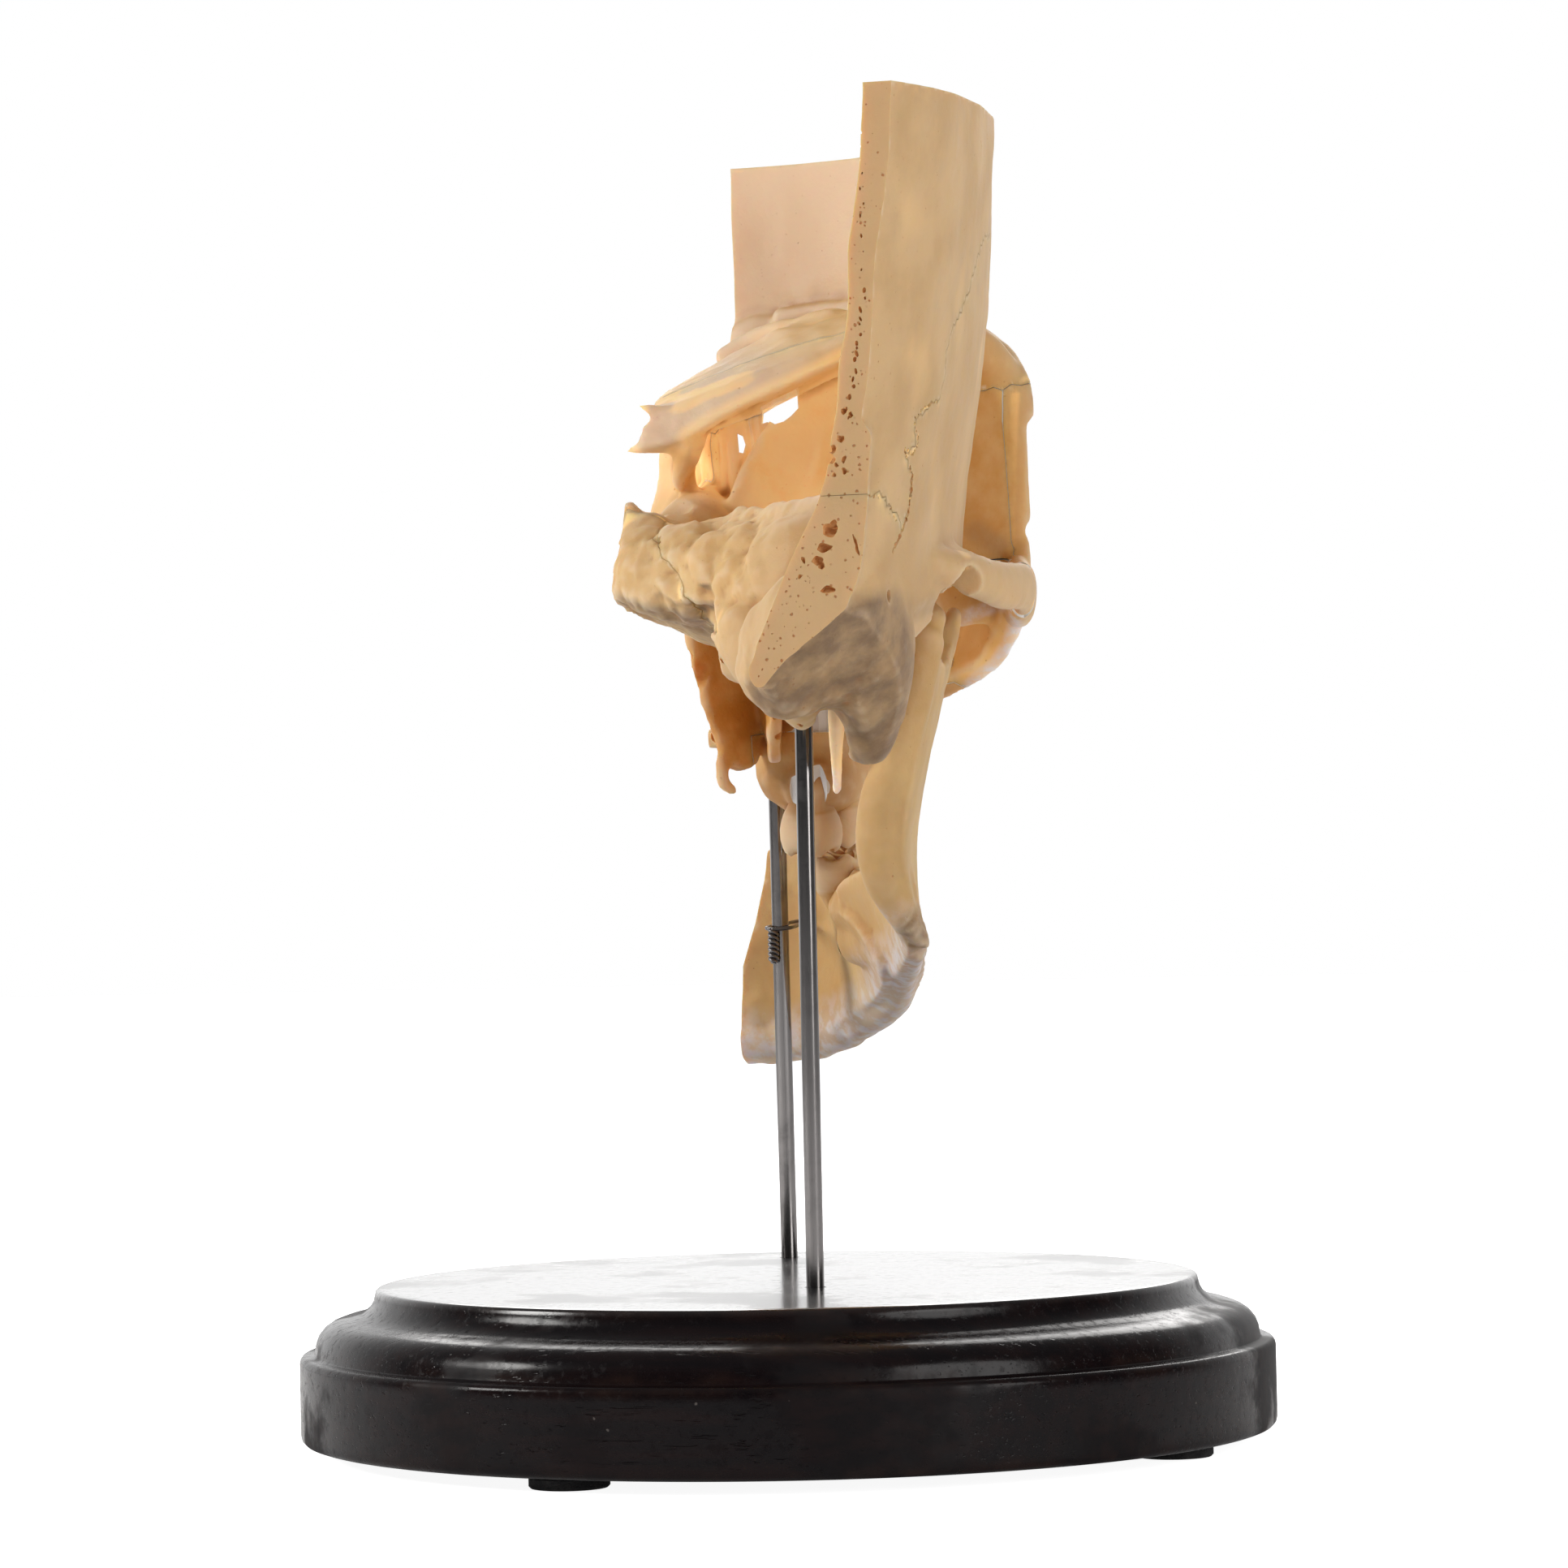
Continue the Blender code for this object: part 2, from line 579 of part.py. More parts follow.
PARIETAL = (
    ("x", ((-60, 17.5), (-46, 18.5), (-41, 19), (-37.5, 27), (-30, 33), (-10, 46), (8, 54), (25, 56), (38, 45),
           (40, 43), (36, 56), (30, 70), (26, 110), (-60, 110)), -20, 90),
)
FRONTAL = (
    ("y", ((-20, 21), (0, 21.5), (12, 25), (30, 31), (40, 33), (47, 33.5), (50, 31), (52, 27.5),
           (80, 27.5), (80, 110), (-20, 110)), 44, 120),
    ("x", ((10, 110), (10, 80), (33, 56), (39, 45), (40.2, 42.5), (46, 39), (46, 110)), 30, 90),
)
TEMPORAL = (
    ("z", ((90, 43), (59.8, 41.5), (59.8, 38.6), (50, 37), (40, 30), (25, 26), (14, 23), (10, 14),
           (10, -60), (90, -60)), -60, 60),
)
ZYGOMATIC = (
    ("y", ((33, 40), (34, 4), (38, -3), (45, -26), (46, -45), (90, -45), (90, 40)), 57.5, 110),
    ("z", ((57, 43), (90, 43), (90, 60), (53.5, 60)), -30, 8),
)
MAXILLA = (
    ("z", ((-20, 45.8), (19, 45.8), (22, 54), (22, 110), (-20, 110)), -80, 40),
    ("z", ((15, 45.8), (70, 45.8), (70, 110), (15, 110)), -80, -2.4),
    ("z", ((8, 38), (40, 38), (40, 60), (8, 60)), -80, -37),
)
OCCIPITAL = (
    ("z", ((-20, 19), (14, 19), (14, -20), (-20, -20)), -40, 40),
)
BONE_COLOUR = (0.82, 0.70, 0.50)


def tooth(place, forward, width, depth, crown, edge, sign, turn):
    # a crown narrowed towards its neck, with a root sunk in the jaw; sign is 1 where the crown points down
    root = ROOT_DEPTH if width > 6 else ROOT_DEPTH - 1
    rows = (
        (0.0, 0.62), (0.12, 0.9), (0.45, 1.0), (0.8, 0.9), (1.0, 0.78), (1.0 + 0.5 * root / crown, 0.6),
        (1.0 + root / crown, 0.25),
    )
    sharp = 0.42 if forward > 84 else 0.9
    work = bmesh.new()
    rings = [[(0, 0, 0.02 * crown)]]
    sides = 10
    for level, size in rows:
        thin = size * (sharp + (1 - sharp) * min(1.0, level * 1.4))
        rings.append([
            (width / 2 * size * math.cos(math.tau * k / sides), depth / 2 * thin * math.sin(math.tau * k / sides),
             level * crown) for k in range(sides)
        ])
    rings.append([(0, 0, crown + root)])
    skin(work, rings)
    place_matrix = Matrix.Translation((place, forward, edge)) @ Matrix.Rotation(turn, 4, "Z")
    flip = Matrix.Diagonal((1, 1, sign, 1))
    bmesh.ops.transform(work, matrix=place_matrix @ flip, verts=work.verts)
    return from_bmesh("tooth", work)


def teeth(row, edge, sign):
    # one side's row, each tooth turned along the curve of the row
    made = []
    for i, (place, forward, width, depth, crown) in enumerate(row):
        before = row[i - 1] if i else (-row[0][0], row[0][1])
        after = row[min(i + 1, len(row) - 1)]
        turn = math.atan2(after[1] - before[1], after[0] - before[0])
        made.append(tooth(place, forward, width, depth, crown, edge, sign, turn))
    return made


def rod_drill(rod, low, high):
    foot, top = rod
    return upright("drill", foot, top, low, high, ROD_RADIUS + GAP)


def socketed(bone, rod, depth):
    # a blind hole in a bone for the end of a rod
    top = rod[1][2]
    bpy.context.view_layer.update()
    return combined(bone, [rod_drill(rod, top - depth, top + GAP)], "DIFFERENCE")


def upright(name, foot, top, low, high, radius):
    # a round bar on the line from the foot to the top, between two heights
    base = Vector((*foot, BASE_TOP))
    run = Vector(top) - base
    points = [base + run * ((height - base.z) / run.z) for height in (low, high)]
    middle = (points[0] + points[1]) / 2
    turn = run.to_track_quat("Z", "Y").to_matrix().to_4x4()
    work = bmesh.new()
    bmesh.ops.create_cone(work, cap_ends=True, segments=16, radius1=radius, radius2=radius,
                          depth=(points[1] - points[0]).length, matrix=Matrix.Translation(middle) @ turn)
    return from_bmesh(name, work)


BASE_BOTTOM = FOOT_HEIGHT + GAP
BASE_TOP = BASE_BOTTOM + BASE_PROFILE[0][1]


def skull_bones(pose):
    stock = sawn_stock()
    bones = [
        carve(stock, "parietal", PARIETAL), carve(stock, "frontal", FRONTAL),
        carve(stock, "temporal", TEMPORAL), carve(stock, "zygomatic", ZYGOMATIC),
        carve(stock, "maxilla", MAXILLA), carve(stock, "occipital", OCCIPITAL),
    ]
    stock.name = "sphenoid"
    bones.append(largest(stock))
    for bone in bones:
        if bone.name == "maxilla":
            combined(bone, teeth(UPPER_TEETH, BITE_HEIGHT, 1), "UNION")
            largest(bone)
        finish(bone, bone.name, BONE_COLOUR, 0.6, parent=pose)
    held = {bone.name: bone for bone in bones}
    socketed(held["temporal"], FRONT_ROD, 24)
    socketed(held["maxilla"], REAR_ROD, 6)


def jaw(pose):
    body = sheet((
        ((-8, 84, -58), (2, 84, -58), (10, 81.5, -58), (16, 75.5, -57.5), (20, 66, -58), (22, 54, -59),
         (24, 43, -59), (31, 33, -54)),
        ((-8, 82, -72), (2, 82, -72), (11, 79, -71), (18, 72, -69.5), (23, 61, -67), (26, 49, -64),
         (30, 38, -60), (37, 25, -55)),
        ((-8, 81, -84), (3, 81, -84), (12, 77, -83), (21, 69, -80), (28, 56.5, -76), (32.5, 43, -71),
         (36, 31, -66), (41, 18, -60)),
        ((-8, 82, -96), (3, 80.5, -96), (12, 76, -93.5), (22, 66, -88), (30.5, 53, -82), (36, 39, -75.5),
         (39.5, 27, -70), (44, 11, -62)),
    ), 9.0)
    border = limb((
        (-8, 80, -94, 5, 4.5), (3, 79, -93.5, 5, 4.5), (12, 75, -91.5, 4.6, 4.6), (22, 66, -86, 4.4, 4.8),
        (30.5, 53, -79.5, 4, 4.8), (37, 38, -73, 3.6, 4.8), (42, 22, -66, 3.2, 4.8), (45.5, 9, -58, 3.0, 4.8),
    ))
    ramus = sheet((
        ((50.5, 8, -13), (50, 14, -14), (49, 21, -17), (48.5, 28, -14), (48, 35, -12)),
        ((48.5, 7, -23), (48, 14, -24), (47, 21, -25), (46, 28, -23), (45.5, 36, -19)),
        ((44, 6, -38), (43.5, 13, -39), (42.5, 21, -40), (41.5, 29, -38), (41, 37, -36)),
        ((42.5, 4, -50), (41.5, 13, -52), (40.5, 22, -53), (38, 31, -53), (35.5, 38, -50)),
        ((46.5, 3, -62), (44.5, 12, -66), (42.5, 21, -69), (39, 31, -70), (36, 40, -69)),
    ), 5.2)
    rear_edge = limb((
        (50.5, 9, -11, 3.4, 3.4), (47.5, 8, -24, 3.2, 3.4), (41.8, 7, -38, 3.8, 3.6), (41, 5, -49, 4, 3.8),
        (45.5, 5, -60, 3.0, 3.6),
    ))
    neck = limb(((50, 10, -14, 4, 3), (51, 12, -9, 5.5, 3.2), (51.5, 12.5, -7.5, 6.5, 3.2)))
    head = limb(((45, 12, -8, 3.2, 3), (52, 12.5, -7, 3.4, 3.4), (58, 11.5, -8.5, 3, 2.8)), across=(0, 1, 0))
    chin = blob((-1, 81, -89), (15, 5.4, 9))
    beak = limb(((46, 32, -20, 2.6, 7), (49, 33, -12, 2.4, 5), (52, 35, -6.5, 1.8, 2.4)))
    shelf = limb(((35, 30, -54, 4, 6), (28, 40, -62, 5, 6), (22, 52, -65, 5.4, 6), (20, 64, -65, 5, 6)))
    masses = [body, border, ramus, rear_edge, neck, head, chin, beak, shelf]
    bone = thinned(fused("mandible", masses), JAW_SHARE)
    far = 150
    half = prism("y", (*JAW_CUT, (-far, -40), (-far, -120)), 50, far)
    combined(bone, [half], "DIFFERENCE")
    combined(bone, teeth(LOWER_TEETH, BITE_HEIGHT - BITE_GAP, -1), "UNION")
    return finish(largest(bone), "mandible", BONE_COLOUR, 0.6, parent=pose)


# Stand

def base():
    work = bmesh.new()
    profile = [(0.0, BASE_PROFILE[0][1]), *BASE_PROFILE, (0.0, 0.0)]
    verts = [work.verts.new((radius, 0, height + BASE_BOTTOM)) for radius, height in profile]
    for first, second in zip(verts, verts[1:]):
        work.edges.new((first, second))
    bmesh.ops.spin(work, geom=work.verts[:] + work.edges[:], axis=(0, 0, 1), cent=(0, 0, 0),
                   steps=BASE_SIDES, angle=math.tau, use_merge=True)
    bmesh.ops.remove_doubles(work, verts=work.verts, dist=0.01)
    wood = from_bmesh("base", work)
    drills = [rod_drill(rod, BASE_TOP - ROD_SINK - GAP, BASE_TOP + 5) for rod in (FRONT_ROD, REAR_ROD)]
    combined(wood, drills, "DIFFERENCE")
    return finish(wood, "base", (0.03, 0.02, 0.018), 0.3)


def feet():
    for i in range(4):
        angle = FOOT_TURN + math.tau * i / 4
        work = bmesh.new()
        place = Matrix.Translation((
            FOOT_CIRCLE * math.cos(angle), FOOT_CIRCLE * math.sin(angle), FOOT_HEIGHT / 2))
        bmesh.ops.create_cone(work, cap_ends=True, segments=24, radius1=FOOT_RADIUS, radius2=FOOT_RADIUS,
                              depth=FOOT_HEIGHT, matrix=place)
        finish(from_bmesh("foot", work), f"foot_{i + 1}", (0.02, 0.02, 0.02), 0.8)


def rods():
    for name, rod in (("rod_front", FRONT_ROD), ("rod_rear", REAR_ROD)):
        foot, top = rod
        bar = upright(name, foot, top, BASE_TOP - ROD_SINK, top[2], ROD_RADIUS)
        finish(bar, name, (0.62, 0.62, 0.63), 0.25, metallic=1.0)


def tube(name, points, radius, sides=6):
    # a wire along a run of points
    rows = [(*point, radius, radius) for point in points]
    return limb(rows, across=(0.3, 0.2, 1.0), sides=sides, steps=1)


def wire_tie():
    # a twisted tail hanging beside the rear rod, and the two strands that run on to the jaw
    rod_x, rod_y = REAR_ROD[0][0], TIE_ROD_FORWARD
    tail_x, tail_y = rod_x + TAIL_SIDE, rod_y + TAIL_BEHIND
    per_turn = 8
    count = int(TIE_TURNS * per_turn)
    coil = []
    for i in range(count + 1):
        angle = math.tau * i / per_turn
        coil.append((
            tail_x + TAIL_RADIUS * math.cos(angle), tail_y + TAIL_RADIUS * math.sin(angle),
            TIE_HEIGHT - TIE_TAIL_LENGTH * i / count,
        ))
    core = [(tail_x, tail_y, TIE_HEIGHT + 0.2 - TIE_TAIL_LENGTH * k / 4) for k in range(5)]
    strands = []
    for side in (-1, 1):
        around = ROD_RADIUS + GAP + WIRE_RADIUS + 0.2
        strands.append(blend_rows([
            (tail_x, tail_y, TIE_HEIGHT), (rod_x + side * around * 0.8, rod_y + around * 0.9, TIE_HEIGHT + 0.2),
            (rod_x + side * around, rod_y - 0.5, TIE_HEIGHT + 0.4),
            (rod_x + side * around * 0.7, rod_y - 8, TIE_HEIGHT + 0.9),
            (TIE_END[0] + side * 0.25, TIE_END[1], TIE_END[2]),
        ], 5))
    tail = tube("coil", coil, WIRE_RADIUS)
    others = [tube("core", core, TAIL_CORE)] + [tube("strand", strand, WIRE_RADIUS) for strand in strands]
    combined(tail, others, "UNION")
    finish(largest(tail), "wire_tie", (0.2, 0.19, 0.19), 0.35, metallic=1.0)


def main():
    clear_scene()
    pose = bpy.data.objects.new("skull_pose", None)
    bpy.context.scene.collection.objects.link(pose)
    pose.location = [value * MM for value in SKULL_PLACE]
    pose.rotation_euler = (NOSE_UP, 0, FACING)
    skull_bones(pose)
    jaw(pose)
    base()
    feet()
    rods()
    wire_tie()


main()
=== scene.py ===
# Looks for the half skull on its turned wooden stand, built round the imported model.
# Bones are in millimetres in the skull's own frame: x to its right, y forward, z up,
# measured from midway between the two ear openings. Everything else is in metres.
import json
import math
import random

import bmesh
import bpy
import numpy as np
from mathutils import Euler, Matrix, Vector, kdtree, noise
from mathutils.bvhtree import BVHTree

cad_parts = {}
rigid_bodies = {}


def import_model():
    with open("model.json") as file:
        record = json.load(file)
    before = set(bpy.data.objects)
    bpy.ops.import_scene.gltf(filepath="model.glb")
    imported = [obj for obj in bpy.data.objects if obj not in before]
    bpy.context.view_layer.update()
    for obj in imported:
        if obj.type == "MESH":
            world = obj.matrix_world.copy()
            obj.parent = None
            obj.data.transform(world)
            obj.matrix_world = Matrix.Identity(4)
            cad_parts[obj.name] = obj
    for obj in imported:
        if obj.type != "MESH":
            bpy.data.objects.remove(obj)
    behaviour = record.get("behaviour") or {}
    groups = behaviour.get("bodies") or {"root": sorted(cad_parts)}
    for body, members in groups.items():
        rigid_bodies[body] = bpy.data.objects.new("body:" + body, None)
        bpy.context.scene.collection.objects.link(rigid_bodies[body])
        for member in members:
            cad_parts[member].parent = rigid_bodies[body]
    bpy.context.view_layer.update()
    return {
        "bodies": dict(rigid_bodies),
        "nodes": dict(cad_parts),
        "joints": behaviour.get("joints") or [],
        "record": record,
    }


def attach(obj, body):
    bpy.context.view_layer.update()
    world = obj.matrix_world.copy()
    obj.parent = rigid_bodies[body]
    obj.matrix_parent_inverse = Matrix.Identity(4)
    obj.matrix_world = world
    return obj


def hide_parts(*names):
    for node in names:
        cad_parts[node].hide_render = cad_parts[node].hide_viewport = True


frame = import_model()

mm = 0.001
pose = {"place": (22.0, 18.3, 145.0), "noseUp": 10, "facing": 180}
bone = {
    "voxel": 0.6, "relax": 4, "gap": 0.08,       # surface grain and the hairline between bones
    "sutureStep": 1.3, "sutureReach": 0.75,      # length and height of the suture teeth
    "seam": 0.3,                                 # how far a suture stains the bone beside it
    "thickLimit": 9.0,                           # walls thicker than this count as solid
}
saw = {
    "rear": -46.0, "topRear": 83.0, "topSlope": -0.112,
    "middle": ((-1.5, -90), (-1.5, 35), (1.2, 90)),
    "jaw": ((-5.3, -120), (-5.3, -92), (-4.4, -79), (-1.6, -71), (0.5, -63), (2.0, -52), (2.0, -40)),
}
vault = {
    "levels": (
        (-6, 56.0, -12, 88), (6, 57.0, -12, 90), (14, 58.0, -12, 93), (29, 61.0, -12, 97),
        (42, 63.5, -13, 97), (58, 65.3, -14, 96), (72, 67.3, -17, 95), (92, 68.4, -20, 92),
    ),
    "rearLength": 80.0, "bluntness": 2.25, "sideWall": 4.2, "foreheadWall": 6.5,
    "foot": ((-60, -4), (-30, -3), (20, -2), (44, 0), (52, 12), (60, 26), (70, 30), (100, 31)),
}
dice = random.Random(7)
turnToStand = (
    Matrix.Translation([v * mm for v in pose["place"]])
    @ Euler((math.radians(pose["noseUp"]), 0, math.radians(pose["facing"]))).to_matrix().to_4x4()
)


def keep(name, mesh):
    piece = bpy.data.objects.new(name, mesh)
    bpy.context.scene.collection.objects.link(piece)
    return piece


def fromBmesh(name, work, scale=mm):
    bmesh.ops.recalc_face_normals(work, faces=work.faces)
    bmesh.ops.scale(work, vec=(scale, scale, scale), verts=work.verts)
    mesh = bpy.data.meshes.new(name)
    work.to_mesh(mesh)
    work.free()
    return keep(name, mesh)


def drop(pieces):
    for piece in pieces:
        bpy.data.objects.remove(piece)


def settle(piece):
    # bakes a piece's modifiers into its mesh
    graph = bpy.context.evaluated_depsgraph_get()
    mesh = bpy.data.meshes.new_from_object(piece.evaluated_get(graph), depsgraph=graph)
    piece.modifiers.clear()
    piece.data = mesh
    return piece


def blendRows(rows, steps):
    # a smooth run through rows of numbers
    padded = [rows[0], *rows, rows[-1]]
    run = []
    for before, start, end, after in zip(padded, padded[1:], padded[2:], padded[3:]):
        for step in range(steps):
            t = step / steps
            run.append([
                0.5 * (2 * q + (r - p) * t + (2 * p - 5 * q + 4 * r - s) * t ** 2
                       + (3 * q - p - 3 * r + s) * t ** 3)
                for p, q, r, s in zip(before, start, end, after)
            ])
    run.append(list(rows[-1]))
    return run


def between(table, place):
    for (low, first), (high, second) in zip(table, table[1:]):
        if place <= high:
            share = max(0.0, (place - low) / (high - low))
            return first + (second - first) * share
    return table[-1][1]


def skin(work, rings):
    # joins rings of equal count, where the first and the last may be single points
    loops = [[work.verts.new(point) for point in ring] for ring in rings]
    for near, far in zip(loops, loops[1:]):
        count = max(len(near), len(far))
        for i in range(count):
            j = (i + 1) % count
            corners = [near[i % len(near)], near[j % len(near)], far[j % len(far)], far[i % len(far)]]
            work.faces.new(dict.fromkeys(corners))


def limb(stations, across=(1, 0, 0), sides=20, steps=6):
    # a rounded bar through stations of x, y, z, half width along across, half height
    rows = blendRows(stations, steps)
    centres = [Vector(row[:3]) for row in rows]
    rings = []
    for i, row in enumerate(rows):
        run = (centres[min(i + 1, len(rows) - 1)] - centres[max(i - 1, 0)]).normalized()
        side = Vector(across)
        side = (side - run * side.dot(run)).normalized()
        up = run.cross(side)
        caps = [(0.0, 1.0)]
        if i in (0, len(rows) - 1):
            end = 1 if i else -1
            tip = end * 0.8 * min(row[3], row[4])
            caps = [(tip * math.sin(a), math.cos(a)) for a in (0.0, 0.4, 0.8, 1.2)] + [(tip, 0.0)]
            caps = caps if i else caps[::-1]
        for shift, size in caps:
            middle = centres[i] + run * shift
            count = sides if size else 1
            rings.append([
                middle + side * (row[3] * size * math.cos(math.tau * k / sides))
                + up * (row[4] * size * math.sin(math.tau * k / sides)) for k in range(count)
            ])
    work = bmesh.new()
    skin(work, rings)
    return fromBmesh("limb", work)


def blob(centre, radii, turn=(0, 0, 0), fineness=3):
    work = bmesh.new()
    spin = Matrix.Identity(4)
    for angle, axis in zip(turn, "XYZ"):
        spin = Matrix.Rotation(math.radians(angle), 4, axis) @ spin
    place = Matrix.Translation(centre) @ spin @ Matrix.Diagonal((*radii, 1))
    bmesh.ops.create_icosphere(work, subdivisions=fineness, radius=1, matrix=place)
    return fromBmesh("blob", work)


def sheet(rows, thickness):
    # a bent plate through a grid of points
    work = bmesh.new()
    grid = [[work.verts.new(point) for point in row] for row in rows]
    for near, far in zip(grid, grid[1:]):
        for i in range(len(near) - 1):
            work.faces.new((near[i], near[i + 1], far[i + 1], far[i]))
    plate = fromBmesh("sheet", work)
    curve = plate.modifiers.new("Curve", "SUBSURF")
    curve.levels = curve.render_levels = 3
    wall = plate.modifiers.new("Wall", "SOLIDIFY")
    wall.thickness = thickness * mm
    wall.offset = 0
    return settle(plate)


def serrated(outline, step, reach):
    # the outline with its sides broken into the small teeth of a suture
    points = []
    for i, start in enumerate(outline):
        run = Vector(outline[(i + 1) % len(outline)]) - Vector(start)
        count = max(1, round(run.length / step))
        side = Vector((-run.y, run.x)).normalized()
        for k in range(count):
            point = Vector(start) + run * (k / count)
            drift = noise.noise(Vector((point.x * 0.22, point.y * 0.22, 3.1))) * reach * 1.6
            tooth = (-1) ** k * reach * dice.uniform(0.2, 0.7)
            points.append(tuple(point + side * ((drift + tooth) if k else 0.0)))
    return points


def grown(outline, margin):
    turn = sum(a[0] * b[1] - b[0] * a[1] for a, b in zip(outline, outline[1:] + outline[:1]))
    sign = 1 if turn > 0 else -1
    moved = []
    for i, point in enumerate(outline):
        first = Vector(point) - Vector(outline[i - 1])
        second = Vector(outline[(i + 1) % len(outline)]) - Vector(point)
        outA = Vector((first.y, -first.x)).normalized() * sign
        outB = Vector((second.y, -second.x)).normalized() * sign
        bend = (outA + outB).normalized()
        moved.append(tuple(Vector(point) + bend * (margin / max(0.5, bend.dot(outA)))))
    return moved


def prism(axis, outline, low, high, margin=0.0):
    # a block with this outline seen along the axis
    outline = grown(list(outline), margin) if margin else list(outline)
    low, high = low - margin, high + margin
    order = {"x": (2, 0, 1), "y": (0, 2, 1), "z": (0, 1, 2)}[axis]
    work = bmesh.new()
    ends = []
    for level in (low, high):
        corners = [(*point, level) for point in outline]
        ends.append([work.verts.new([corner[k] for k in order]) for corner in corners])
    work.faces.new(ends[0])
    work.faces.new(ends[1])
    for i in range(len(outline)):
        j = (i + 1) % len(outline)
        work.faces.new((ends[0][i], ends[0][j], ends[1][j], ends[1][i]))
    return fromBmesh("block", work)


def joined(name, pieces):
    work = bmesh.new()
    for piece in pieces:
        work.from_mesh(piece.data)
    drop(pieces)
    return fromBmesh(name, work, scale=1)


def fused(name, pieces, relax=None):
    # closed masses melted into one surface, as bone grows
    body = joined(name, pieces)
    melt = body.modifiers.new("Melt", "REMESH")
    melt.mode = "VOXEL"
    melt.voxel_size = bone["voxel"] * mm
    ease = body.modifiers.new("Ease", "SMOOTH")
    ease.factor = 0.5
    ease.iterations = bone["relax"] if relax is None else relax
    return settle(body)


def combined(body, others, operation, solver="MANIFOLD"):
    group = bpy.data.collections.new("others")
    bpy.context.scene.collection.children.link(group)
    for other in others:
        bpy.context.scene.collection.objects.unlink(other)
        group.objects.link(other)
    cut = body.modifiers.new("Join", "BOOLEAN")
    cut.operation = operation
    cut.solver = solver
    cut.operand_type = "COLLECTION"
    cut.collection = group
    settle(body)
    drop(others)
    bpy.data.collections.remove(group)
    return body


def largest(body):
    # keeps only the largest closed surface
    mesh = body.data
    pairs = np.empty(len(mesh.edges) * 2, dtype=np.int64)
    mesh.edges.foreach_get("vertices", pairs)
    pairs = pairs.reshape(-1, 2)
    label = np.arange(len(mesh.vertices))
    while True:
        low = np.minimum(label[pairs[:, 0]], label[pairs[:, 1]])
        fresh = label.copy()
        np.minimum.at(fresh, pairs[:, 0], low)
        np.minimum.at(fresh, pairs[:, 1], low)
        fresh = fresh[fresh]
        if np.array_equal(fresh, label):
            break
        label = fresh
    names, counts = np.unique(label, return_counts=True)
    main = names[np.argmax(counts)]
    work = bmesh.new()
    work.from_mesh(mesh)
    work.verts.ensure_lookup_table()
    loose = [work.verts[i] for i in np.nonzero(label != main)[0]]
    bmesh.ops.delete(work, geom=loose, context="VERTS")
    work.to_mesh(mesh)
    work.free()
    return body


def carve(stock, name, blocks):
    # takes the bone inside the blocks out of the stock and leaves a serrated hairline round it
    step, reach = bone["sutureStep"], bone["sutureReach"]
    cut = [(axis, serrated(outline, step, reach), low, high) for axis, outline, low, high in blocks]
    piece = keep(name, stock.data.copy())
    combined(piece, [unionOf([prism(*block) for block in cut])], "INTERSECT")
    combined(stock, [unionOf([prism(*block, bone["gap"]) for block in cut])], "DIFFERENCE")
    return largest(piece)


def unionOf(blocks):
    first, *others = blocks
    return combined(first, others, "UNION") if others else first


# Masses of each bone

def vaultPoint(angle, height, wall):
    # a point on the braincase outline, wall inside its outer face
    half = between([(row[0], row[1]) for row in vault["levels"]], height)
    widest = between([(row[0], row[2]) for row in vault["levels"]], height)
    reach = between([(row[0], row[3]) for row in vault["levels"]], height)
    forward = max(0.0, math.sin(angle))
    inset = vault["sideWall"] + (vault["foreheadWall"] - vault["sideWall"]) * forward ** 2
    half -= inset * wall
    length = reach - widest if angle > 0 else vault["rearLength"]
    length -= inset * wall
    power = 2 / (vault["bluntness"] if angle > 0 else 2.0)
    across, along = math.cos(angle), math.sin(angle)
    x = math.copysign(abs(across) ** power, across) * half
    y = widest + math.copysign(abs(along) ** power, along) * length
    return x, y, height


def vaultShell():
    # the sawn wall of the braincase from behind the ear round to the middle of the forehead
    columns = [math.radians(a) for a in range(-42, 97, 2)]
    top = 90.0
    levels = 40
    work = bmesh.new()
    faces = []
    for wall in (0, 1):
        grid = []
        for angle in columns:
            foot = between(vault["foot"], vaultPoint(angle, 20, 0)[1])
            heights = [foot + (top - foot) * k / levels for k in range(levels + 1)]
            grid.append([work.verts.new(vaultPoint(angle, height, wall)) for height in heights])
        faces.append(grid)
        for near, far in zip(grid, grid[1:]):
            for k in range(levels):
                work.faces.new((near[k], near[k + 1], far[k + 1], far[k]))
    outer, inner = faces
    for i in range(len(columns) - 1):
        for k in (0, levels):
            work.faces.new((outer[i][k], outer[i + 1][k], inner[i + 1][k], inner[i][k]))
    for k in range(levels):
        for i in (0, len(columns) - 1):
            work.faces.new((outer[i][k], outer[i][k + 1], inner[i][k + 1], inner[i][k]))
    return [fromBmesh("shell", work)]


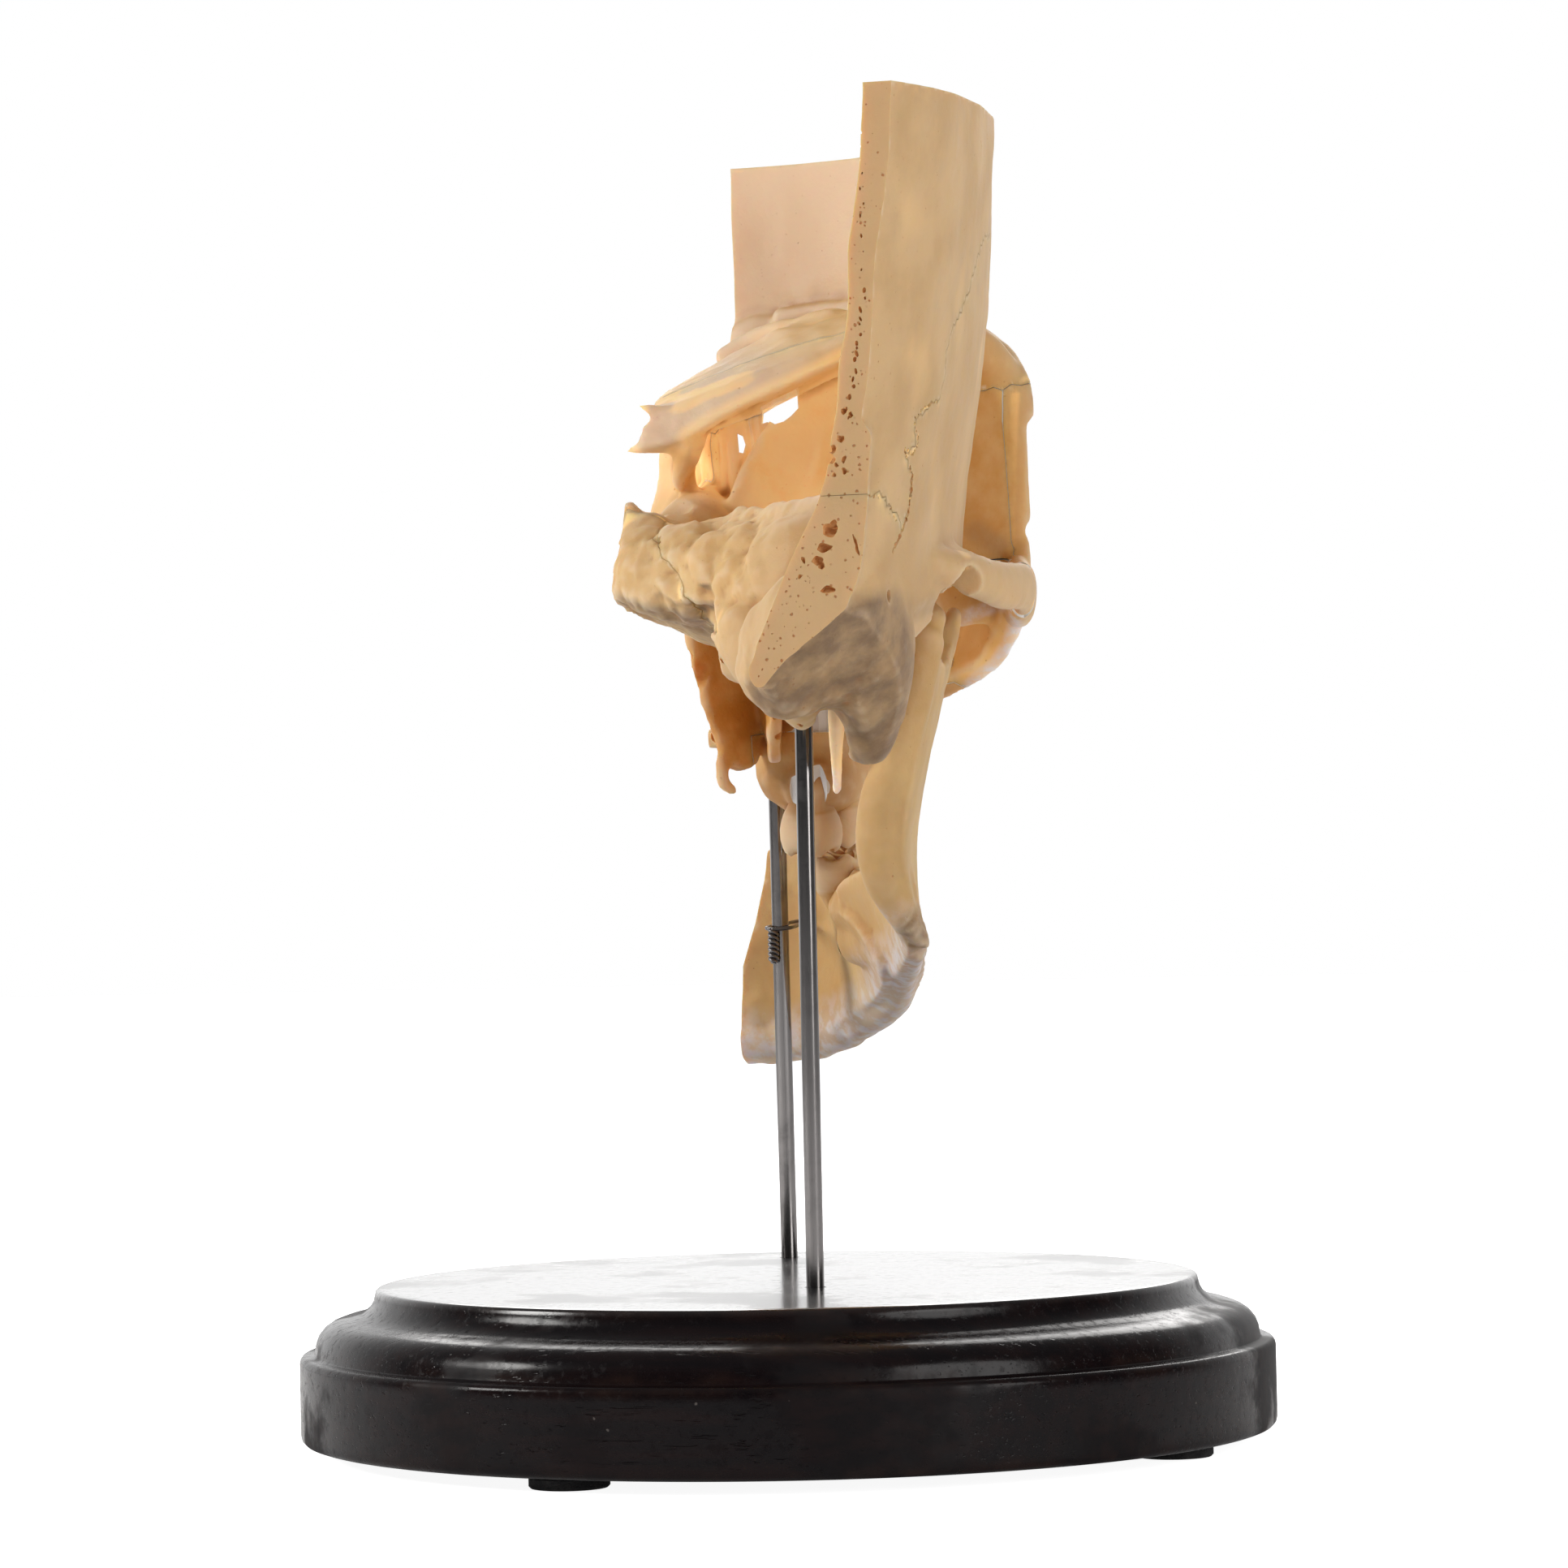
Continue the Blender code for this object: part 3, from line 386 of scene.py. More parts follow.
def frontalMasses():
    brow = limb((
        (57, 61, 22, 1.8, 3.4), (55.6, 63.5, 28, 2.8, 3.8), (51, 70, 32, 3.6, 4.0), (41, 79, 35, 4.5, 4.5),
        (27, 86, 35, 4.5, 4.5),
        (12, 91, 33, 4.5, 5.5), (-4, 92.5, 32, 4.5, 6),
    ), across=(0, 1, 0))
    roof = sheet((
        ((-5, 36, 21), (8, 37, 24), (21, 38, 29), (34, 40, 34), (48, 43, 40)),
        ((-3, 50, 25), (9, 50, 33), (21, 52, 39), (34, 53, 42), (49, 54, 40)),
        ((-2, 68, 26), (9, 67, 37), (22, 68, 42), (36, 68, 42), (50, 66, 36)),
        ((-2, 88, 29), (12, 87, 34), (26, 84, 37), (40, 77, 36), (52, 69, 32)),
    ), 2.6)
    corner = limb(((49, 51, 37, 4, 4), (53, 57, 33.5, 3.4, 4), (55.8, 62, 29.5, 2.4, 3.4)))
    keel = limb(((-2, 86, 31, 3, 5), (-2, 76, 29, 2.5, 4), (-2, 64, 27, 2.5, 3)))
    root = blob((4, 89, 28), (9, 5, 6))
    folds = [limb(run) for run in (
        ((4, 80, 33, 3.5, 3.6), (14, 76, 37, 4.2, 3), (26, 72, 39, 3.6, 2.6), (36, 68, 41, 3, 2.2)),
        ((3, 68, 34, 3, 2.6), (14, 66, 37.6, 4, 2.2), (27, 61, 40.6, 4, 2.2)),
        ((9, 88, 39.4, 4, 2.6), (22, 85, 40.4, 4, 2.8), (33, 79, 41.4, 3.5, 2.6)),
    )]
    cover = sheet((
        ((-4, 36.5, 25.5), (4, 36.5, 28), (14.6, 36, 31.5), (24, 37.5, 33.8), (34, 40, 37.5)),
        ((-4, 46, 29), (6, 46, 32.5), (16, 46.5, 36.5), (25, 47.5, 38.8), (36, 48, 41)),
        ((-4, 60, 29), (6, 60, 35), (18, 60, 40), (28, 60, 42), (40, 58, 42)),
    ), 2.2)
    return [brow, roof, keel, root, blob((5, 90, 35), (9, 4.5, 6)), cover, corner, *folds]


def temporalMasses():
    petrous = limb((
        (45, -13, 2, 11, 8), (38, -6, 0.5, 12.5, 12.5), (27, 5, -0.5, 11.5, 12), (16, 15, 0, 10.5, 10),
        (8, 20, 1, 8, 7),
    ), across=(0, 0, 1))
    ridge = limb(((46, -12, 16, 2.5, 4), (34, -3, 11, 2.4, 4), (22, 8, 9, 2.4, 4), (12, 17, 8, 2, 3)))
    sawnEdge = limb((
        (54.5, -48, 28, 2.8, 8), (52, -47, 18, 4, 9), (48.5, -46, 8, 5.5, 9), (43, -45, -1, 5, 8),
        (37, -44, -9, 3, 6),
    ))
    mastoid = limb((
        (49.8, -32, 6, 5.6, 16), (49.6, -24, -6, 6.6, 12), (47.6, -18, -16, 6.2, 8.5), (45.5, -14, -25, 4, 5),
    ))
    beside = limb((
        (42, -42, -2, 6, 10), (38, -32, -8, 9, 10), (36, -23, -13, 7, 7), (35.5, -19, -19.5, 2.6, 3),
    ))
    under = limb(((5, 19, -5, 4, 5), (10, 16, -8, 5, 6), (18, 9, -11, 6, 6), (24, 2, -13, 5, 5)))
    earPlate = sheet((
        ((54, -22, 3), (54.6, -8, 3), (55, 4, 1)),
        ((51, -20, -8), (51, -8, -8), (52, 4, -5)),
    ), 5.0)
    filling = limb(((46, -38, 0, 5, 11), (44, -28, -8, 6, 9), (42, -20, -14, 5, 5)))
    floor = sheet((
        ((12, 24, -4), (28, 28, -6), (40, 32, -5), (49, 38, 0)),
        ((20, 14, -4), (32, 14, -5), (43, 16, -2), (52, 18, 2)),
        ((30, 4, -2), (38, 2, -3), (46, 2, 1), (54.5, 2, 2)),
    ), 4.0)
    arch = limb((
        (55, -8, 4, 3, 3), (60, 4, 0.4, 3.0, 3.8), (62.5, 16, -3, 2.5, 4.2), (62.5, 30, -4.8, 2.2, 4.2),
        (60.5, 42, -6.6, 2.4, 4.8), (57.5, 52, -8, 3.2, 6.6),
    ))
    archRoot = sheet((
        ((53, -14, 7), (55, 0, 5.5), (56, 14, 3), (57, 24, -1)),
        ((54, -12, 2), (58.4, 1, 1), (60.6, 14, -1.6), (61.4, 24, -3.4)),
    ), 3.6)
    joint = limb(((44, 22, -2, 5.5, 2.8), (52, 21, -1.6, 4.4, 2.2)), across=(0, 1, 0))
    styloid = limb(((39, -3, -9, 3.2, 3.2), (37, 1, -18, 1.8, 2.4), (35, 5, -27, 1.1, 1.9), (33.5, 9, -36.5, 0.7, 1.1)))
    chunk = limb(((22, 1, -7, 6, 7), (26, -8, -9, 6, 8), (32, -18, -12, 6, 7)))
    bridge = limb(((3, 15, 1, 7, 7), (11, 10.5, 1, 7.5, 8), (19, 5, 1, 8, 8.5)), across=(0, 0, 1))
    return [petrous, ridge, sawnEdge, mastoid, beside, filling, floor, arch, archRoot, joint, styloid, chunk, bridge, under, earPlate]


def sphenoidMasses():
    body = limb(((2, 16, 0, 7, 9), (3, 26, 1, 8, 9.5), (4, 38, 3, 8, 10), (4, 48, 5, 6, 9)))
    clivus = limb(((4, 14, -4, 8, 7), (2, 18, 3, 7, 6), (-0.5, 20, 9, 4, 3)))
    spine = limb(((-2, 20, 9, 2.4, 2.4), (-3, 20, 13, 1.1, 1.1)))
    edge = sheet((
        ((-5.6, 35.5, 20.8), (3.5, 34.6, 21.8), (13, 34.2, 27.6), (22, 35.4, 30.4), (32, 38.5, 34), (44, 43, 39)),
        ((-4.6, 36.5, 24), (3.5, 36, 26), (13.4, 35.6, 30), (22.6, 37, 32.4), (32.4, 40, 35.8), (44, 44, 40)),
        ((-2.8, 38, 27.4), (4, 37.6, 29), (14, 37.6, 32.4), (23, 39, 34.6), (33, 42, 37.6), (44, 46, 41)),
    ), 2.4)
    tips = [limb(run) for run in (
        ((0, 37.5, 27, 2, 1.6), (-3, 37, 28.2, 1.2, 1.1), (-5, 36.6, 28.6, 0.5, 0.5)),
        ((1, 36.5, 22.5, 2.6, 2), (-4, 36, 21.6, 1.4, 1.3), (-7.4, 35.6, 21, 0.5, 0.5)),
        ((0, 37, 24.6, 2.2, 2), (-3.6, 36.6, 24.8, 1.1, 1.1), (-4.6, 36.4, 25, 0.6, 0.6)),
    )]
    strut = limb(((3.8, 37, 23, 3.2, 2.6), (2.6, 37, 19, 2.2, 2.2), (1.6, 37, 16, 1.5, 1.6), (1.3, 37.4, 14.2, 0.9, 1.0)))
    side = sheet((
        ((-3, 42, 23), (1, 40, 23), (5.5, 39.5, 23)),
        ((-2.6, 42, 15), (0, 40.4, 15), (2.6, 40.2, 15)),
        ((-6, 41, 8), (-1, 39.5, 8), (3.6, 39, 8)),
        ((-7, 40, 2), (-1, 38, 2), (6, 38, 2)),
    ), 2.6)
    wing = sheet((
        ((6.5, 36, -2), (22, 33, -6), (38, 36, -4), (47, 42, 0)),
        ((8.0, 38.5, 8), (20, 41, 8), (34, 44.5, 12), (46.4, 47.4, 14)),
        ((11.2, 40, 16), (22, 42.4, 18), (34, 45.5, 23), (46, 48, 26)),
        ((17.2, 40.6, 26), (25, 42.6, 31), (35, 45.5, 37), (46, 48.4, 39)),
    ), 2.6)
    orbitSide = sheet((
        ((27, 43, 29), (40, 52, 34), (55, 62, 30)),
        ((23, 42, 14), (40, 52, 14), (56, 61, 14)),
        ((22, 40, 0), (38, 52, -2), (55, 62, -3)),
    ), 3.0)
    outerPlate = sheet((
        ((12, 44, -5), (17, 36, -4), (22, 28, -5)),
        ((12, 45, -20), (15, 38, -20), (18, 31, -21)),
        ((13, 45, -35), (15, 39, -36), (16, 34, -35)),
    ), 2.4)
    innerPlate = sheet((
        ((10, 45, -5), (5, 39, -5), (1, 32, -8)),
        ((10, 46, -20), (6, 40, -20), (3, 34, -20)),
        ((11, 46, -37), (8, 40, -37), (6, 36, -36)),
    ), 2.4)
    hook = limb(((6, 36, -34, 1.3, 1.6), (6, 35.5, -38, 1.2, 1.2), (7.5, 37, -40, 1.0, 1.0)))
    root = limb(((6, 40, -2, 7, 8), (13, 40, -8, 7, 7)))
    return [body, clivus, spine, edge, *tips, strut, side, wing, orbitSide, outerPlate, innerPlate, hook, root]


def zygomaticMasses():
    post = sheet((
        ((55, 67, 29), (56.5, 62.4, 29), (55.4, 60, 29.6)),
        ((55, 65, 16), (57.4, 61, 16), (56, 59, 16)),
        ((55, 64, 3), (57.4, 59.6, 3), (56, 58, 3)),
    ), 4.0)
    plate = sheet((
        ((57.8, 50, -4), (57, 60, 3), (49, 68, -1), (37, 74, -2)),
        ((58.2, 51, -8), (56.4, 59, -9), (49, 67, -12), (37, 73, -14)),
        ((55.4, 54, -14), (53.4, 58, -17), (46, 64, -21), (36, 68, -25)),
        ((52.4, 56, -18.4), (49, 58, -23.4), (43, 60, -25), (35, 64, -29)),
    ), 4.6)
    rim = limb(((54.5, 63, 3, 3, 3), (47, 69, 0, 3.2, 3.2), (37, 75, -1, 3.2, 3.2), (25, 80, 0, 3, 3)))
    web = sheet((
        ((43, 46.5, 37), (48, 50.5, 34), (53, 56, 31.5), (57.2, 61.5, 29.5)),
        ((43, 46.5, 18), (49, 51, 17), (54.2, 56.5, 16), (58.4, 60.6, 16)),
        ((43, 45.5, 1), (49, 50, 0), (54, 55.5, 0.5), (58.4, 58, 2)),
        ((42, 49, -14), (47, 54, -14), (52, 57.5, -14), (56, 58.5, -13)),
    ), 3.0)
    return [post, plate, rim, web]


def maxillaMasses():
    bulk = limb(((22, 50, -20, 9, 18), (24, 60, -20, 11, 18), (25, 70, -19, 10, 17), (20, 77, -20, 6, 16)))
    face = sheet((
        ((10, 85, -3), (18, 81, -3), (28, 77, -3), (38, 72, -3)),
        ((11, 86, -18), (18, 81, -18), (27, 76, -18), (38, 69, -16)),
        ((6, 89, -29), (15, 84, -29), (22, 77, -29), (29, 66, -28)),
        ((4, 90, -40), (13, 86, -40), (20.5, 78, -40), (24, 64, -40)),
    ), 5.0)
    tuber = blob((17, 50, -37.5), (9, 6.5, 9))
    row = limb((
        (19.3, 44.8, -40.5, 5.4, 5), (22, 54, -41, 5.6, 6), (22.6, 63.5, -41, 5.4, 6),
        (20.6, 74, -40.5, 5.0, 6.5), (15.5, 82.4, -39, 4.6, 7.5), (8, 87.4, -38, 4.2, 7.5),
        (-4, 89.2, -38, 4.0, 7.5),
    ))
    palate = sheet((
        ((-5, 54, -33), (5, 52, -33), (16, 45, -36)),
        ((-5, 64, -33), (7, 64, -33), (18, 64, -37)),
        ((-5, 86, -33), (5, 85, -33), (12, 82, -36)),
    ), 3.6)
    frontSpine = limb(((-2, 88, -30, 3, 3), (-1, 94, -27, 1.6, 1.6)))
    sidePost = limb(((18, 80, -12, 4.5, 8), (13, 84, 2, 3.4, 7), (10, 87, 14, 3, 6), (8, 88, 28, 3.4, 5)))
    nasal = sheet((
        ((-5, 91, 29), (2, 92, 29), (8, 88, 28)),
        ((-5, 95.5, 18), (2, 96, 18), (9, 90, 17)),
        ((-5, 99.5, 8), (3, 99.5, 7), (10.5, 92, 6)),
    ), 3.2)
    orbitInner = sheet((
        ((10, 42, 29), (10, 60, 33), (10, 86, 31)),
        ((11, 42, 13), (11.5, 60, 13), (11, 85, 13)),
        ((13, 42, -4), (14, 60, -4), (14, 82, -3)),
    ), 3.4)
    cells = sheet((
        ((12, 42, 4), (7, 45, 5), (2.5, 50, 6), (-4, 56, 7)),
        ((12, 42, 12), (8, 44, 13), (2.5, 49, 13), (-4, 56, 14)),
        ((13, 43, 19), (8, 44, 21), (3, 48, 22), (-4, 56, 23)),
        ((13, 44, 26), (9, 46, 28), (4, 50, 30), (-4, 58, 30)),
    ), 1.8)
    upperCurl = limb(((6, 48, 4, 4, 2.2), (5, 62, 3, 4.5, 2.4), (5, 76, 4, 4, 2.2)), across=(0.5, 0, 1))
    lowerCurl = limb(((7, 50, -16, 4, 2.2), (6, 64, -17, 5, 2.6), (7, 78, -16, 4.5, 2.2)), across=(0.4, 0, 1))
    web = sheet((((11, 44, 2), (12, 52, 2)), ((11, 44, -16), (13, 52, -16)), ((11, 45, -36), (13, 54, -36))), 3.0)
    curlRoots = [
        limb(((6, 62, 3, 8, 1.8), (13, 62, 6, 8, 1.8)), across=(0, 1, 0)),
        limb(((6, 64, -16, 10, 1.8), (14, 64, -12, 10, 1.8)), across=(0, 1, 0)),
    ]
    return [bulk, face, tuber, row, palate, frontSpine, sidePost, nasal, orbitInner, cells, upperCurl,
            lowerCurl, web, *curlRoots]


def wedgeSlab():
    # the flat slope under the sawn strip, between its lower end and the mastoid
    start, along, down = Vector((46.6, -46, -2.7)), Vector((9.1, 0, 7.5)), Vector((1.5, 26.3, -22.1))
    along.normalize()
    down = (down - along * down.dot(along)).normalized()
    out = along.cross(down) * -1
    work = bmesh.new()
    bmesh.ops.create_cube(work, size=1)
    frame = Matrix((along, down, out)).transposed().to_4x4()
    place = Matrix.Translation(start + out * 15 + down * 8) @ frame @ Matrix.Diagonal((60, 56, 30, 1))
    bmesh.ops.transform(work, matrix=place, verts=work.verts)
    return fromBmesh("slab", work)


def sightTunnel(outline, near, far, fall):
    # a tunnel from an outline of x and z at one depth, along the line of sight from behind
    rings = [[outline[0]], outline, outline, [outline[0]]]
    depths = (near, near, far, far)
    rings = [[(x - 0.265 * (y - near), y, z - fall * (y - near)) for x, z in ring] for ring, y in zip(rings, depths)]
    work = bmesh.new()
    for ring in rings:
        ring[:] = [work.verts.new(point) for point in ring]
    work.faces.new(rings[1])
    work.faces.new(rings[2])
    for i in range(len(outline)):
        j = (i + 1) % len(outline)
        work.faces.new((rings[1][i], rings[1][j], rings[2][j], rings[2][i]))
    return fromBmesh("tunnel", work)


def pyramidSlope():
    # the broken underside of the pyramid slopes away from its lower edge
    start, end, down = Vector((-2.5, 12, -1.3)), Vector((18.3, 0, -6.2)), Vector((0.3, 0.78, -0.55)).normalized()
    along = (end - start).normalized()
    down = (down - along * down.dot(along)).normalized()
    out = along.cross(down)
    out = out if out.z < 0 else -out
    work = bmesh.new()
    bmesh.ops.create_cube(work, size=1)
    frame = Matrix((along, down, out)).transposed().to_4x4()
    middle = (start + end) / 2 - along * 2.5
    bmesh.ops.transform(work, matrix=Matrix.Translation(middle + out * 10) @ frame @ Matrix.Diagonal((25, 60, 20, 1)),
                        verts=work.verts)
    return fromBmesh("slope", work)


def skullHollows():
    # the eye socket, ear opening and the notches that stay open
    socket = limb((
        (34, 98, 15, 18, 15.5), (33.5, 80, 15.5, 18, 15.5), (32, 70, 16, 17, 15.5), (28, 60, 17, 12.5, 12.5),
        (24, 55, 18, 8, 8.5), (20, 50.5, 19, 4, 4.5),
    ))
    socketSide = limb(((46, 90, 14, 7, 12), (46, 72, 14, 6, 12), (44, 65, 14, 5, 11)))
    ear = limb(((66, -1, -2, 3.6, 4.4), (46, 1, -2, 3.2, 3.8)), across=(0, 1, 0))
    notch = limb(((42.5, -38, -27, 1.8, 5), (41.4, -22, -24, 1.8, 5), (41, -10, -23, 1.8, 5)))
    saddle = blob((0, 29, 13), (6, 5, 5))
    return [socket, socketSide, ear, notch, saddle, wedgeSlab(), pyramidSlope()]


def jawMasses():
    body = sheet((
        ((-8, 84, -58), (2, 84, -58), (10, 81.5, -58), (16, 75.5, -57.5), (20, 66, -58), (22, 54, -59), (24, 43, -59)),
        ((-8, 82, -72), (2, 82, -72), (11, 79, -71), (18, 72, -69.5), (23, 61, -67), (26, 49, -64), (30, 38, -60)),
        ((-8, 81, -84), (3, 81, -84), (12, 77, -83), (21, 69, -80), (28, 56.5, -76), (32.5, 43, -71), (36, 31, -66)),
        ((-8, 82, -95), (3, 80.5, -95), (12, 76, -92.5), (22, 66, -87), (30.5, 53, -81), (35.5, 40, -75.5),
         (39, 28, -70.5)),
    ), 8.6)
    angle = sheet((
        ((23, 44, -58), (31, 33, -54), (40, 22, -50), (43, 12, -50)),
        ((29, 40, -62), (36, 28, -59), (42, 17, -57), (44.5, 9, -56)),
        ((33, 38, -68), (37.5, 28, -66), (42.5, 16, -63), (45.5, 8, -60.5)),
        ((36, 36, -74), (39.5, 27, -71.5), (43.5, 16, -67.5), (47, 8.5, -63)),
    ), 4.4)
    border = limb((
        (-8, 80, -93.5, 5, 4.5), (3, 79, -93, 5, 4.5), (12, 75, -91, 4.6, 4.6), (22, 66, -85.5, 4.2, 4.6),
        (30, 54, -80, 3.6, 4.2), (35, 41, -74.5, 2.6, 3.4), (40, 27, -70, 1.6, 2.4), (45, 13, -65.2, 1.2, 1.8),
    ))
    ramus = sheet((
        ((50.5, 8, -13), (50, 14, -14), (49, 21, -17), (48.5, 28, -14), (48, 35, -12)),
        ((48.5, 7, -23), (48, 14, -24), (47, 21, -25), (46, 28, -23), (45.5, 36, -19)),
        ((44, 6, -38), (43.5, 13, -39), (42.5, 21, -40), (41.5, 29, -38), (41, 37, -36)),
        ((42.5, 4.5, -50), (41.5, 13, -52), (40.5, 22, -53), (38, 31, -53), (35.5, 38, -50)),
        ((45.5, 6, -60), (44, 13, -62), (42, 22, -63), (39, 31, -64), (35, 40, -63)),
    ), 4.8)
    rearEdge = limb((
        (50.5, 9, -11, 3.4, 3.4), (47.3, 8, -24, 3.2, 3.4), (41.6, 7, -38, 3.8, 3.4), (41, 5.5, -48, 3.6, 3.2),
        (43.4, 6, -55.5, 2.8, 2.8), (46.6, 7.6, -61.4, 1.5, 1.9), (47.8, 8.6, -63.2, 0.8, 1.1),
    ))
    neck = limb(((49.4, 10, -14, 3.4, 3), (49, 12, -9, 4.4, 3.0), (49, 12.5, -7.5, 4.8, 3.0)))
    head = limb(((44, 12, -8, 3.2, 3), (48, 12.5, -7, 3.4, 3.4), (51.6, 11.8, -7.8, 2.6, 2.6)), across=(0, 1, 0))
    chin = blob((-1, 81, -89), (15, 5.4, 8.6))
    beak = limb(((46, 32, -20, 2.6, 7), (48.4, 33, -14, 2.2, 4.6), (50, 34.5, -9.5, 1.5, 2.0)))
    shelf = limb(((35, 31, -56, 2, 3.4), (30, 39, -60, 3, 3.8), (24.6, 48, -63, 4, 4.4), (21, 62, -64, 3.8, 4.6)))
    cheek = limb(((24.6, 50, -69, 3.6, 5), (29.6, 42, -68, 3.6, 5), (34, 34, -66, 2.6, 5), (38, 26, -64, 2, 4)))
    return [body, angle, border, ramus, rearEdge, neck, head, chin, beak, shelf, cheek]


parietalRegion = (
    ("x", ((-60, 17.5), (-46, 19), (-40, 18), (-35, 17.5), (-30.5, 14.5), (-28, 11), (-25.4, 15.4), (-26, 20),
           (-30.5, 24), (-26, 24.5), (-28, 29.5), (-17, 31), (-14.5, 34), (-15.3, 39), (-11.6, 43), (0, 47.5),
           (6.8, 53.5), (15, 56), (25, 56), (38, 45), (40, 43), (36, 56), (30, 70), (26, 110), (-60, 110)), -20, 90),
)
frontalRegion = (
    ("y", ((-20, 21), (0, 21.5), (12, 25), (30, 31), (40, 33), (47, 33.5), (50, 31), (52, 27.5),
           (80, 27.5), (80, 110), (-20, 110)), 44, 120),
    ("x", ((10, 110), (10, 80), (33, 56), (39, 45), (40.2, 42.5), (46, 39), (46, 110)), 30, 90),
)
temporalRegion = (
    ("z", ((90, 43), (59.8, 41.5), (59.8, 38.6), (50, 37), (40, 30), (25, 26), (14, 22.5), (4, 19.4),
           (1, 19), (1, -60), (90, -60)), -60, 60),
)
zygomaticRegion = (
    ("y", ((33, 40), (34, 4), (38, -3), (45, -26), (46, -45), (90, -45), (90, 40)), 57.5, 110),
    ("z", ((57.6, 43), (90, 43), (90, 60), (55.8, 60)), -30, 27.5),
    ("z", ((38, 44.5), (90, 44.5), (90, 60), (38, 60)), -40, -2.6),
)
maxillaRegion = (
    ("z", ((-20, 45.8), (19, 45.8), (22, 54), (22, 110), (-20, 110)), -80, 40),
    ("z", ((15, 45.8), (70, 45.8), (70, 110), (15, 110)), -80, -2.4),
    ("z", ((9, 42), (40, 42), (40, 60), (9, 60)), -80, -31),
)
occipitalRegion = (
    ("y", ((-20, 14), (1.6, 14), (3.6, 9.5), (6.2, 6.4), (9.0, 3.2), (11.4, 0.4), (13.6, -4), (14.4, -20), (-20, -20)),
     -20, 19),
)


# Fine forms

def smallHollows():
    # openings, pits and grooves too small for the plain solids
    brow = limb(((20, 96, 33, 1.6, 1.6), (22, 88, 33, 1.6, 2.2)))
    cheekHole = limb(((24, 92, -14, 1.9, 1.5), (25, 78, -10, 1.6, 1.3), (27, 70, -8, 1.2, 1)))
    cheekPin = limb(((58, 76, -8, 0.7, 0.7), (46, 58, -8, 0.7, 0.7)))
    mastoidHole = limb(((60, -34, 2, 0.9, 1.2), (44, -32, 0, 0.9, 1.0)))
    innerEar = limb(((14, 4, 3, 2.6, 2.2), (23, 12, 1, 2.0, 1.8), (30, 14, 0, 1.2, 1.2)))
    grooves = [limb(run) for run in (
        ((3.6, 9.5, 9.5, 0.8, 1.6), (6.2, 8.4, 6.4, 0.8, 1.5), (9.0, 7.6, 3.0, 0.9, 1.6), (11.4, 6.6, 0.4, 0.5, 0.9)),
        ((16.5, 1.2, 1.0, 0.5, 0.8), (20, -0.6, -1.4, 0.7, 1.3), (25.6, -3.6, -4.4, 0.6, 1.2)),
        ((23.2, 2.4, 10.2, 0.6, 1.0), (25.8, 1.2, 9.2, 0.9, 1.4), (26.4, 0.2, 6.4, 0.6, 1.0)),
        ((15.2, 3.6, 6.4, 0.5, 0.9), (15.8, 2.6, 3.4, 0.6, 1.1), (14.6, 3.2, 0.6, 0.4, 0.8)),
    )]
    bite = limb(((13, 2, -3.5, 1.6, 2.6), (19, -3, -5.5, 2.0, 2.6), (25, -9, -4.5, 1.4, 2.4)))
    wingHoles = [limb(((14, 30, z, r, r), (16, 50, z, r, r))) for z, r in ((3, 1.5), (-1.5, 1.1))]
    return [brow, cheekHole, cheekPin, mastoidHole, innerEar, *grooves, bite, *wingHoles]


def jawHollows():
    # nerve openings, the groove inside the jaw and its pits
    chinHole = limb(((34, 78, -72, 1.8, 1.6), (20, 66, -73, 1.5, 1.4), (18, 60, -74, 1, 1)))
    innerHole = limb(((30, 16, -34, 1.5, 3.2), (38, 19, -37, 1.6, 3.6), (40.4, 20.4, -40, 1.0, 1.8)))
    pits = [blob(c, (r, r, r), fineness=2) for c, r in (
        ((18.4, 60, -77.4), 0.6), ((20, 59.4, -78.8), 0.8))]
    return [chinHole, innerHole, *pits]


def uneven(piece, size):
    # bends a small grain out of round
    for vertex in piece.data.vertices:
        spot = vertex.co / (mm * size)
        vertex.co += Vector([noise.noise(spot * 0.9 + Vector((k * 7.3, 0, 0))) for k in range(3)]) * size * mm * 0.55
    return piece


def nicks(edges):
    # bites along broken edges: each edge is a run of points, a bite size and a spacing
    bites = []
    for points, size, spacing in edges:
        run = blendRows(points, 12)
        walked = 0.0
        for before, here in zip(run, run[1:]):
            walked += (Vector(here) - Vector(before)).length
            if walked > spacing:
                walked = dice.uniform(-0.4, 0.3) * spacing
                off = Vector([dice.uniform(-0.35, 0.35) * size for _ in range(3)])
                radii = [size * dice.uniform(0.5, 1.15) for _ in range(3)]
                turn = [dice.uniform(0, 180) for _ in range(3)]
                bites.append(uneven(blob(Vector(here) + off, radii, turn, fineness=2), size))
    return bites


